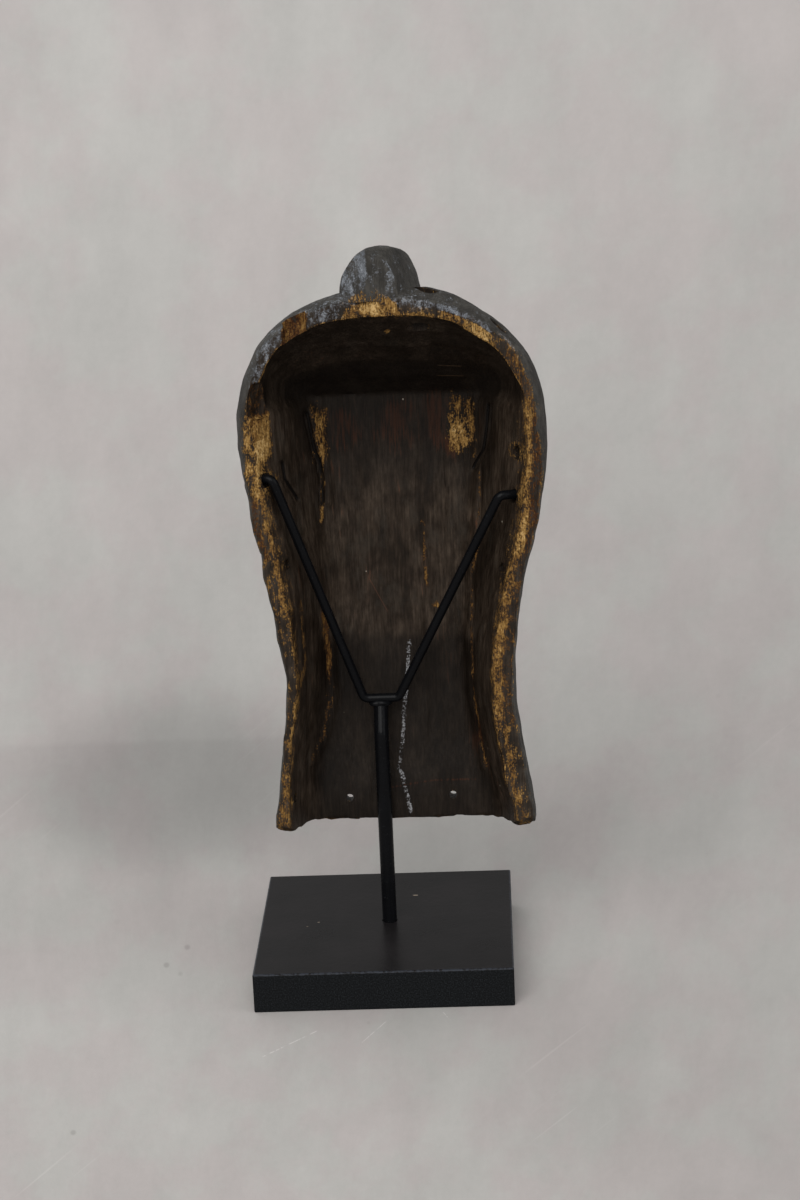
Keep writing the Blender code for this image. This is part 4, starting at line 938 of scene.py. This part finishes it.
class Shader:
    """A procedural material under construction."""

    def __init__(self, name):
        self.material = bpy.data.materials.new(name)
        self.material.use_nodes = True
        self.tree = self.material.node_tree
        self.body = self.tree.nodes["Principled BSDF"]

    def node(self, kind, settings=None, values=None, output=0):
        """Any node: its type, its settings, then the values or links of its sockets."""
        made = self.tree.nodes.new(kind)
        for key, value in (settings or {}).items():
            if key == "stops":
                self.set_stops(made.color_ramp, value)
            else:
                setattr(made, key, value)
        for key, value in (values or {}).items():
            self.feed(made.inputs[key], value)
        return Wire(self, made.outputs[output])

    def set_stops(self, ramp, stops):
        while len(ramp.elements) < len(stops):
            ramp.elements.new(0.5)
        for element, (place, colour) in zip(ramp.elements, stops):
            element.position = place
            element.color = (*colour, 1.0) if hasattr(colour, "__len__") else (colour, colour, colour, 1.0)

    def feed(self, socket, value):
        if isinstance(value, Wire):
            self.tree.links.new(value.socket, socket)
        elif hasattr(value, "__len__") and socket.type == "RGBA":
            socket.default_value = (*value, 1.0)[:4]
        else:
            socket.default_value = value

    def attribute(self, name):
        return self.node("ShaderNodeAttribute", {"attribute_name": name}, output=1)

    def split(self, vector):
        made = self.node("ShaderNodeSeparateXYZ", {}, {0: vector})
        return [Wire(self, socket) for socket in made.socket.node.outputs]

    def stretch(self, vector, scale):
        return self.node("ShaderNodeVectorMath", {"operation": "MULTIPLY"}, {0: vector, 1: scale})

    def noise(self, vector, scale, detail=3.0, roughness=0.55, distortion=0.0):
        return self.node("ShaderNodeTexNoise", {}, {"Vector": vector, "Scale": scale, "Detail": detail,
                                                    "Roughness": roughness, "Distortion": distortion})

    def mix(self, factor, first, second, blend="MIX"):
        settings = {"data_type": "RGBA", "blend_type": blend}
        return self.node("ShaderNodeMix", settings, {0: factor, 6: first, 7: second}, output=2)

    def ramp(self, factor, *stops):
        return self.node("ShaderNodeValToRGB", {"stops": stops}, {0: factor})

    def line(self, along, across, points, half_width):
        """1 on a line given as (along, across) points, 0 beyond its half width."""
        low, high = points[0][0], points[-1][0]
        least = min(p[1] for p in points)
        span = max(max(p[1] for p in points) - least, 1e-3)
        stops = [((a - low) / (high - low), (c - least) / span) for a, c in points]
        centre = self.ramp((along - low) / (high - low), *stops)
        away = (centre * span + least - across).math("ABSOLUTE")
        ends = along.step(low - 1.0, low + 1.0) * along.step(high + 1.0, high - 1.0)
        return away.step(half_width * 1.5, half_width * 0.5) * ends

    def finish(self, colour, roughness, height=None, bump=0.5, distance=0.001):
        """Connect the surface's varying inputs."""
        self.feed(self.body.inputs["Base Color"], colour)
        self.feed(self.body.inputs["Roughness"], roughness)
        if height is not None:
            normal = self.node("ShaderNodeBump", {}, {"Strength": bump, "Distance": distance, "Height": height})
            self.feed(self.body.inputs["Normal"], normal)
        return self.material


def shade(hex_colour):
    """Scene colour of a six-digit display colour."""
    parts = [int(hex_colour[i:i + 2], 16) / 255 for i in (0, 2, 4)]
    return tuple(c / 12.92 if c <= 0.04045 else ((c + 0.055) / 1.055) ** 2.4 for c in parts)


def wood_material(settings):
    """Old carved wood: dark hollow with painted shade on its ceiling, face wall and holes, worn golden edges,
    chalky grey outside.
    """
    s = Shader("carved_wood")
    place = s.attribute("place")
    bare, tone, chalk = s.split(s.attribute("wear"))
    painted_shade, rust, outside = s.split(s.attribute("stain"))
    x, y, z = s.split(place)
    along_grain = s.stretch(place, (1.0, 1.0, 0.07))
    fibre = s.noise(along_grain, 0.9, 4.0, 0.6)
    fine_fibre = s.noise(along_grain, 2.6, 3.0, 0.6)
    blotch = s.noise(s.stretch(place, (1.0, 1.0, 0.45)), 0.075, 4.0, 0.6)
    speck = s.noise(place, 0.9, 3.0, 0.7)
    grit = s.noise(place, 2.8, 2.0, 0.6)
    inside = (1 - outside.step(0.2, 0.7))

    patch = s.noise(s.stretch(place, (1.0, 1.0, 0.5)), 0.26, 3.0, 0.6)
    hollow = s.ramp(blotch * 0.40 + fibre * 0.35 + patch * 0.25, (0.36, shade("15100b")),
                    (0.46, shade("231b14")), (0.54, shade("332a22")), (0.66, shade("4b4036")))
    dust = (s.noise(s.stretch(place, (1.0, 1.0, 0.5)), 0.11, 5.0, 0.7) - 0.50).step(0.0, 0.16)
    hollow = s.mix(dust * 0.35 * (1 - painted_shade), hollow, shade("37322c"))
    hollow = s.mix((rust + (fibre - 0.5) * 1.6 + (blotch - 0.5) * 0.8).step(0.40, 0.80) * 0.55, hollow,
                   shade("5a2c12"))
    # Painted shade: near black where the painted shade attribute is high.
    hollow = s.mix(painted_shade * 0.82, hollow, shade("0f0b08"))

    skin = s.ramp(s.noise(place, 0.10, 5.0, 0.65) * 0.6 + fibre * 0.4, (0.32, shade("22211f")),
                  (0.50, shade("363431")), (0.66, shade("4c4a46")))
    skin = s.mix((speck - 0.5).step(0.06, 0.16) * 0.35, skin, shade("1a1815"))
    base = s.mix(outside.step(0.2, 0.7), hollow, skin)

    broken = bare + (speck - 0.5) * 1.5 + (fine_fibre - 0.5) * 1.3 + (patch - 0.5) * 1.5
    bared = broken.step(0.44, 0.62) * bare.step(0.02, 0.10)
    wood_tone = (tone - 0.04 + (fine_fibre - 0.5) * 1.1 + (speck - 0.5) * 1.2 + (patch - 0.5) * 1.3).held()
    wood = s.ramp(wood_tone, (0.0, shade("241108")), (0.22, shade("432813")), (0.46, shade("674a25")),
                  (0.72, shade("8c6c3b")), (1.0, shade("bf9f6b")))
    pits = s.noise(s.stretch(place, (1.0, 1.0, 0.30)), 1.25, 2.0, 0.5).step(0.58, 0.66)
    wood = s.mix(pits * 0.75, wood, shade("22140a"))
    colour = s.mix(bared, base, wood)

    chalky = chalk + (speck - 0.5) * 1.4 + (patch - 0.5) * 1.6
    veil = chalky.step(0.30, 0.80) * chalk.step(0.02, 0.12)
    chalk_colour = s.ramp(grit * 0.4 + speck * 0.3 + patch * 0.3, (0.36, shade("3b3d40")),
                          (0.49, shade("585b60")), (0.58, shade("7f848b")), (0.68, shade("aab0b6")))
    colour = s.mix(veil * 0.85, colour, chalk_colour)

    streak = s.line(z, x + (patch - 0.5) * 4.0, WHITE_STREAK, 1.2) * inside
    streak = (streak + (speck - 0.5) * 4.5 + (patch - 0.5) * 3.0).step(0.8, 1.5) * streak.step(0.05, 0.3)
    colour = s.mix(streak * 0.80, colour, shade("96979a"))
    amber = s.line(x, z + (speck - 0.5) * 1.5, AMBER_LINE, 0.45) * inside
    colour = s.mix((amber * (fibre - 0.42) * 3.0).held() * 0.35, colour, shade("633216"))
    scratch = s.line(z, x, SCRATCH, 0.28) * inside
    colour = s.mix(scratch * 0.4, colour, shade("55382a"))
    cracks = (s.line(z, x, LEFT_CRACK, 0.85) + s.line(z, x, RIGHT_CRACK, 0.75)
              + s.line(z, x, SIDE_CRACK, 0.7)).held() * inside
    colour = s.mix(cracks * 0.95, colour, shade("070504"))
    square = (s.line(x, z, CEILING_MARKS[0], 0.22) + s.line(x, z, CEILING_MARKS[1], 0.22)).held() * inside
    colour = s.mix(square * (grit - 0.25).held() * 1.2, colour, shade("6a5440"))
    flecks = s.node("ShaderNodeTexVoronoi", {"feature": "F1"}, {"Vector": place, "Scale": 0.055})
    colour = s.mix(flecks.step(0.035, 0.020) * inside * 0.7, colour, shade("a39a8c"))

    s.body.inputs["Specular IOR Level"].default_value = 0.10
    roughness = (0.56 + (speck - 0.5) * 0.25 + bared * 0.14 - painted_shade * 0.06 + veil * 0.15).held()
    height = fibre * 0.9 + fine_fibre * 0.45 + speck * 0.35 - pits * bared * 1.1 - cracks * 2.4 + bared * 0.25
    return s.finish(colour, roughness, height, settings.bump, 0.0008)


def board_material(settings):
    """Black-painted board: a satin top, rougher sides, and paint rubbed thin along its edges."""
    s = Shader("board_paint")
    place = s.stretch(s.node("ShaderNodeTexCoord", output=3), (1000.0, 1000.0, 1000.0))
    x, y, z = s.split(place)
    half = 1000 * (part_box("stand_base")[1].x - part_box("stand_base")[0].x) / 2
    top = 1000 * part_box("stand_base")[1].z
    side = z.step(top - 0.5, top - 1.4)
    reach = x.math("ABSOLUTE").math("MAXIMUM", y.math("ABSOLUTE"))
    brink = reach.step(half - 2.2, half - 0.5) * z.step(top - 2.0, top - 0.5)
    grain = s.noise(place, 1.3, 3.0, 0.7)
    cloud = s.noise(place, 0.035, 4.0, 0.6)
    top_paint = s.ramp(cloud, (0.35, settings.board_colour), (0.68, shade("1d1b1c")))
    side_paint = s.ramp(grain, (0.42, shade("0d0e0f")), (0.56, shade("181a1c")), (0.70, shade("2a2d2f")))
    colour = s.mix(side, top_paint, side_paint)
    rubbed = (brink * 0.9 + (s.noise(place, 0.5, 3.0, 0.7) - 0.5) * 1.2).step(0.72, 0.95)
    colour = s.mix(rubbed * 0.55, colour, shade("3c4149"))
    dot = s.node("ShaderNodeTexVoronoi", {"feature": "F1"}, {"Vector": place, "Scale": 0.034})
    dust = dot.step(0.028, 0.012) * (1 - side)
    for (spot_x, spot_y), reach_of in BOARD_SPECKS:
        off_x, off_y = (x - spot_x) / reach_of, (y - spot_y) / (0.55 * reach_of)
        dust = dust.math("MAXIMUM", (off_x * off_x + off_y * off_y).step(1.3, 0.7) * (1 - side))
    colour = s.mix(dust * 0.8, colour, shade("8f8375"))
    s.body.inputs["Specular IOR Level"].default_value = 0.06
    roughness = (settings.board_roughness + (cloud - 0.5) * 0.12 + side * 0.30 + dust * 0.3).held()
    height = grain * (side * 1.2 + 0.10) + s.noise(place, 0.25, 2.0, 0.5) * 0.25
    return s.finish(colour, roughness, height, 0.35, 0.0006)


def steel_material(settings):
    """Gloss black paint on steel, a little orange-peeled and rubbed."""
    s = Shader("steel_paint")
    place = s.stretch(s.node("ShaderNodeTexCoord", output=3), (1000.0, 1000.0, 1000.0))
    peel = s.noise(place, 0.9, 2.0, 0.5)
    cloud = s.noise(place, 0.12, 3.0, 0.6)
    rubs = (s.noise(place, 0.5, 4.0, 0.7) - 0.5).step(0.13, 0.20)
    colour = s.mix(cloud * 0.5, settings.steel_colour, shade("111215"))
    colour = s.mix(rubs * 0.25, colour, shade("3a3c40"))
    roughness = (settings.steel_roughness + (cloud - 0.5) * 0.16 + rubs * 0.2).held()
    s.body.inputs["Specular IOR Level"].default_value = 0.08
    return s.finish(colour, roughness, peel, 0.12, 0.0005)


def floor_material(settings):
    """Pale warm plaster-like floor, faintly mottled and scuffed, its marks growing with distance, with painted
    light and shade: lighter far off, toward the left and at the front, darker in a middle band, and a painted
    shadow on the left.
    """
    s = Shader("pale_floor")
    x, y, _ = s.split(s.node("ShaderNodeTexCoord", output=3))
    run = CAMERA_PLACE[1] - y
    near = run.math("MAXIMUM", 1.1)
    across, along = x / near, (1.0 / near + (near - run) * 0.83) * CAMERA_PLACE[2]
    place = s.node("ShaderNodeCombineXYZ", {}, {0: across, 1: along})
    cloud = s.noise(place, 9.0, 5.0, 0.62)
    brushed = s.noise(s.stretch(place, (1.0, 0.45, 1.0)), 46.0, 6.0, 0.68)
    fine = s.noise(place, 300.0, 3.0, 0.7)
    plain = settings.floor_colour
    colour = s.ramp(cloud * 0.45 + brushed * 0.40 + fine * 0.15, (0.36, tuple(c * 0.90 for c in plain)),
                    (0.64, tuple(min(c * 1.09, 1.0) for c in plain)))
    pink = s.noise(place, 21.0, 4.0, 0.65).step(0.42, 0.58)
    tint = s.mix(pink, (plain[0] * 0.965, plain[1], plain[2] * 0.99), (plain[0] * 1.03, plain[1] * 0.985, plain[2]))
    colour = s.mix(0.65, colour, tint, "COLOR")
    slant = s.node("ShaderNodeCombineXYZ", {}, {0: (across * 0.75 + along * 0.66) * 12.0,
                                                1: (along * 0.75 - across * 0.66) * 420.0})
    scratch = s.noise(slant, 1.0, 1.0, 0.5).step(0.66, 0.73) * s.noise(place, 8.0, 1.0, 0.5).step(0.50, 0.62)
    colour = s.mix(scratch * along.step(0.30, 0.42) * 0.22, colour, shade("e4e1de"))
    for start_end in FLOOR_SCRATCHES:
        drawn = s.line(across * 1000, along * 1000, start_end, 0.22) * fine.step(0.40, 0.56)
        colour = s.mix(drawn * 0.45, colour, shade("efedeb"))
    specks = s.node("ShaderNodeTexVoronoi", {"feature": "F1"}, {"Vector": place, "Scale": 62.0})
    specks = specks.step(0.10, 0.04) * s.noise(place, 20.0, 1.0, 0.5).step(0.55, 0.62)
    colour = s.mix(specks * along.step(0.30, 0.42) * 0.30, colour, shade("6f6a66"))
    # A darker band just nearer than the line where the lighter far tone begins, on the left.
    far_line_band = along.step(0.3440, 0.3475) * (1.0 - along.step(0.36, 0.41)) * across.step(-0.02, 0.06)
    # Painted shadow: a soft dark patch on the left.
    off_x, off_y = (across - 0.088) / 0.055, (along - 0.362) / 0.034
    painted_shadow = (off_x * off_x + off_y * off_y).step(1.8, 0.0)
    # Painted light and shade: lighter far off and at the front, darker in a middle band, lighter toward the left,
    # and darker in the band and the painted shadow above.
    shade_of = 1.0 - along.step(0.12, 0.33) * 0.14 + along.step(0.38, 0.52) * 0.10 - far_line_band * 0.05 - painted_shadow * 0.22
    shade_of = shade_of * (1.0 + across.math("MAXIMUM", -0.2).math("MINIMUM", 0.2) * 0.30)
    colour = s.mix((1.08 - shade_of).held(), colour, (0.0, 0.0, 0.0))
    return s.finish(colour, 0.85, fine, 0.08, 0.002)


def rounded_path(points, radius, steps):
    """Straight runs joined by arcs of about one radius at each corner."""
    path = [points[0]]
    for before, corner, after in zip(points, points[1:], points[2:]):
        into, out = (before - corner).normalized(), (after - corner).normalized()
        half = into.angle(out) / 2
        back = min(radius / math.tan(half), 0.45 * (before - corner).length, 0.45 * (after - corner).length)
        start, end = corner + into * back, corner + out * back
        path += [start * (1 - t) ** 2 + corner * 2 * t * (1 - t) + end * t ** 2
                 for t in (k / steps for k in range(steps + 1))]
    return path + [points[-1]]


def swept_bar(points, radius, sides):
    """Points and faces of a round bar along a path, its ends eased."""
    inset = [(-0.00, 0.62), (0.22, 0.90), (0.6, 1.0)]
    start, end = points[0], points[-1]
    lead, trail = (points[1] - start).normalized(), (points[-2] - end).normalized()
    spine = [(start + lead * radius * out, keep) for out, keep in inset]
    spine += [(p, 1.0) for p in points[1:-1]]
    spine += [(end + trail * radius * out, keep) for out, keep in reversed(inset)]
    across, rings = None, []
    for i, (point, keep) in enumerate(spine):
        ahead = (spine[min(i + 1, len(spine) - 1)][0] - spine[max(i - 1, 0)][0]).normalized()
        across = ahead.orthogonal() if across is None else across
        across = (across - ahead * across.dot(ahead)).normalized()
        beside = ahead.cross(across)
        turns = [2 * math.pi * k / sides for k in range(sides)]
        rings.append([point + (across * math.cos(t) + beside * math.sin(t)) * radius * keep for t in turns])
    return loft(rings)


def weld_solid():
    """Lumpy weld where the wire's foot meets the rod's end."""
    points, faces = ball(28, 18)
    centre = np.array(ROD_TOP) + np.array([0.0, 0.0006, 0.0022])
    lumps = 1 + 0.10 * rough(points, (0.55, 0.55, 0.55), 61)
    return points * lumps[:, None] * np.array([0.0060, 0.0036, 0.0026]) + centre, faces


def shade_mesh(piece, angle):
    """Smooth shading with creases kept sharp."""
    piece.data.shade_smooth()
    piece.data.set_sharp_from_angle(angle=math.radians(angle))


class MaskLooks(bpy.types.PropertyGroup):
    """Settings of the carved mask."""
    bump: bpy.props.FloatProperty(name="Grain relief", description="Strength of the wood's fine relief",
                                  default=0.55, min=0.0, max=1.0, subtype="FACTOR")


class StandLooks(bpy.types.PropertyGroup):
    """Settings of the board, rod and wire."""
    board_colour: bpy.props.FloatVectorProperty(
        name="Board colour", description="Paint on the board", default=(0.0075, 0.0070, 0.0074), size=3,
        subtype="COLOR", min=0.0, max=1.0)
    board_roughness: bpy.props.FloatProperty(
        name="Board roughness", description="How matt the board's top is", default=0.29, min=0.0, max=1.0,
        subtype="FACTOR")
    steel_colour: bpy.props.FloatVectorProperty(
        name="Steel colour", description="Paint on the rod and wire", default=(0.0030, 0.0031, 0.0036), size=3,
        subtype="COLOR", min=0.0, max=1.0)
    steel_roughness: bpy.props.FloatProperty(
        name="Steel roughness", description="How matt the rod and wire are", default=0.27, min=0.0, max=1.0,
        subtype="FACTOR")


class StageLooks(bpy.types.PropertyGroup):
    """Settings of the floor, lights and camera."""
    floor_colour: bpy.props.FloatVectorProperty(
        name="Floor colour", description="Colour of the floor", default=(0.512, 0.490, 0.474), size=3,
        subtype="COLOR", min=0.0, max=1.0)
    floor_reach: bpy.props.FloatProperty(
        name="Floor reach", description="How far the floor runs from its middle", default=30.0, min=1.0,
        max=100.0, unit="LENGTH")
    key_power: bpy.props.FloatProperty(
        name="Key light", description="Strength of the main soft light", default=2.22, min=0.0, max=20.0)
    fill_power: bpy.props.FloatProperty(
        name="Fill light", description="Strength of the second soft light", default=0.60, min=0.0, max=20.0)
    back_power: bpy.props.FloatProperty(
        name="Back light", description="Strength of the soft light on the carved side", default=0.45, min=0.0,
        max=20.0)
    softness: bpy.props.FloatProperty(
        name="Softness", description="How wide the lights look from the mask", default=math.radians(50.0),
        min=0.0, max=math.pi, subtype="ANGLE")
    ambient: bpy.props.FloatProperty(
        name="Ambient", description="Even light from all round", default=0.42, min=0.0, max=5.0)
    lens: bpy.props.FloatProperty(
        name="Lens", description="Focal length on a 36 mm tall frame", default=82.2, min=10.0, max=300.0,
        subtype="DISTANCE_CAMERA")


class MASK_OT_carve(bpy.types.Operator):
    """Build the carved mask in place of its solid"""
    bl_idname = "mask.carve"
    bl_label = "Carve the mask"

    def execute(self, context):
        piece = carve_mask()
        turn = Euler(MASK_TURN).to_matrix().to_4x4()
        piece.data.transform(Matrix.Translation(MASK_PLACE) @ turn)
        piece.data.materials.clear()
        piece.data.materials.append(wood_material(context.scene.mask_looks))
        shade_mesh(piece, 48)
        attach(piece, "root")
        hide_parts("mask")
        return {"FINISHED"}


class MASK_OT_finish_stand(bpy.types.Operator):
    """Paint the board and rod and bend the wire cradle"""
    bl_idname = "mask.finish_stand"
    bl_label = "Finish the stand"

    def execute(self, context):
        looks = context.scene.stand_looks
        steel = steel_material(looks)
        for node, paint_on in (("stand_base", board_material(looks)), ("stand_rod", steel)):
            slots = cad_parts[node].material_slots
            if not slots:
                raise RuntimeError("node %s has no material slot" % node)
            slots[0].material = paint_on
        path = rounded_path([Vector(c) for c in CRADLE_CORNERS], WIRE_BEND, 10)
        wire = linked_object("cradle_wire", *swept_bar(path, WIRE_RADIUS, 24))
        weld = linked_object("weld", *weld_solid())
        wire.data.materials.append(steel)
        joined = bmesh.new()
        joined.from_mesh(wire.data)
        joined.from_mesh(weld.data)
        joined.to_mesh(wire.data)
        joined.free()
        bpy.data.objects.remove(weld)
        shade_mesh(wire, 50)
        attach(wire, "root")
        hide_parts("stand_cradle")
        return {"FINISHED"}


class MASK_OT_lay_stage(bpy.types.Operator):
    """Lay the pale floor, and set the lights and the camera"""
    bl_idname = "mask.lay_stage"
    bl_label = "Lay the stage"

    def execute(self, context):
        looks, scene = context.scene.stage_looks, context.scene
        reach = looks.floor_reach
        mesh = bpy.data.meshes.new("floor")
        mesh.from_pydata([(-reach, -reach, 0.0), (reach, -reach, 0.0), (reach, reach, 0.0),
                          (-reach, reach, 0.0)], [], [(0, 1, 2, 3)])
        mesh.materials.append(floor_material(looks))
        floor = bpy.data.objects.new("floor", mesh)
        scene.collection.objects.link(floor)
        target = Vector((0.0, 0.0, 0.22))
        for name, place, power, tint in (("key", (0.24, 1.25, 1.30), looks.key_power, (1.0, 0.99, 0.975)),
                                         ("fill", (-1.30, 0.70, 0.75), looks.fill_power, (0.94, 0.97, 1.0)),
                                         ("back", (0.90, -1.20, 1.20), looks.back_power, (1.0, 1.0, 1.0))):
            lamp = bpy.data.lights.new(name, "SUN")
            lamp.energy, lamp.color, lamp.angle = power, tint, looks.softness
            stand = bpy.data.objects.new(name, lamp)
            stand.location = place
            stand.rotation_euler = (target - Vector(place)).to_track_quat("-Z", "Y").to_euler()
            scene.collection.objects.link(stand)
        world = bpy.data.worlds.new("room")
        world.use_nodes = True
        world.node_tree.nodes["Background"].inputs["Color"].default_value = (1.0, 0.985, 0.97, 1.0)
        world.node_tree.nodes["Background"].inputs["Strength"].default_value = looks.ambient
        scene.world = world
        scene.view_settings.view_transform = "Standard"
        lens = bpy.data.cameras.new("camera")
        lens.lens, lens.sensor_width = looks.lens, 36.0
        eye = bpy.data.objects.new("camera", lens)
        ahead = Vector((*CAMERA_AHEAD, 0.0)).normalized()
        level = Vector((ahead.y, -ahead.x, 0.0))
        look = ahead * math.cos(CAMERA_PITCH) - Vector((0.0, 0.0, math.sin(CAMERA_PITCH)))
        up = level.cross(look)
        right = level * math.cos(CAMERA_ROLL) - up * math.sin(CAMERA_ROLL)
        up = level * math.sin(CAMERA_ROLL) + up * math.cos(CAMERA_ROLL)
        eye.matrix_world = Matrix.Translation(CAMERA_PLACE) @ Matrix((right, up, -look)).transposed().to_4x4()
        scene.collection.objects.link(eye)
        scene.camera = eye
        return {"FINISHED"}


class MASK_PT_panel(bpy.types.Panel):
    """Lists the settings and the steps"""
    bl_label = "Carved mask"
    bl_idname = "MASK_PT_panel"
    bl_space_type = "VIEW_3D"
    bl_region_type = "UI"
    bl_category = "Mask"

    def draw(self, context):
        layout = self.layout
        for looks in (context.scene.mask_looks, context.scene.stand_looks, context.scene.stage_looks):
            box = layout.box()
            for name in looks.bl_rna.properties.keys():
                if name not in ("rna_type", "name"):
                    box.prop(looks, name)
        for step in STEPS:
            layout.operator(step.bl_idname)


STEPS = (MASK_OT_lay_stage, MASK_OT_finish_stand, MASK_OT_carve)
CLASSES = (MaskLooks, StandLooks, StageLooks, *STEPS, MASK_PT_panel)


def register():
    """Add the classes and the scene's settings."""
    for made in CLASSES:
        bpy.utils.register_class(made)
    bpy.types.Scene.mask_looks = bpy.props.PointerProperty(type=MaskLooks)
    bpy.types.Scene.stand_looks = bpy.props.PointerProperty(type=StandLooks)
    bpy.types.Scene.stage_looks = bpy.props.PointerProperty(type=StageLooks)


def unregister():
    """Take the settings and the classes away again."""
    del bpy.types.Scene.mask_looks
    del bpy.types.Scene.stand_looks
    del bpy.types.Scene.stage_looks
    for made in reversed(CLASSES):
        bpy.utils.unregister_class(made)


def main():
    """Build everything."""
    register()
    bpy.ops.mask.lay_stage()
    bpy.ops.mask.finish_stand()
    bpy.ops.mask.carve()


if __name__ == "__main__":
    main()
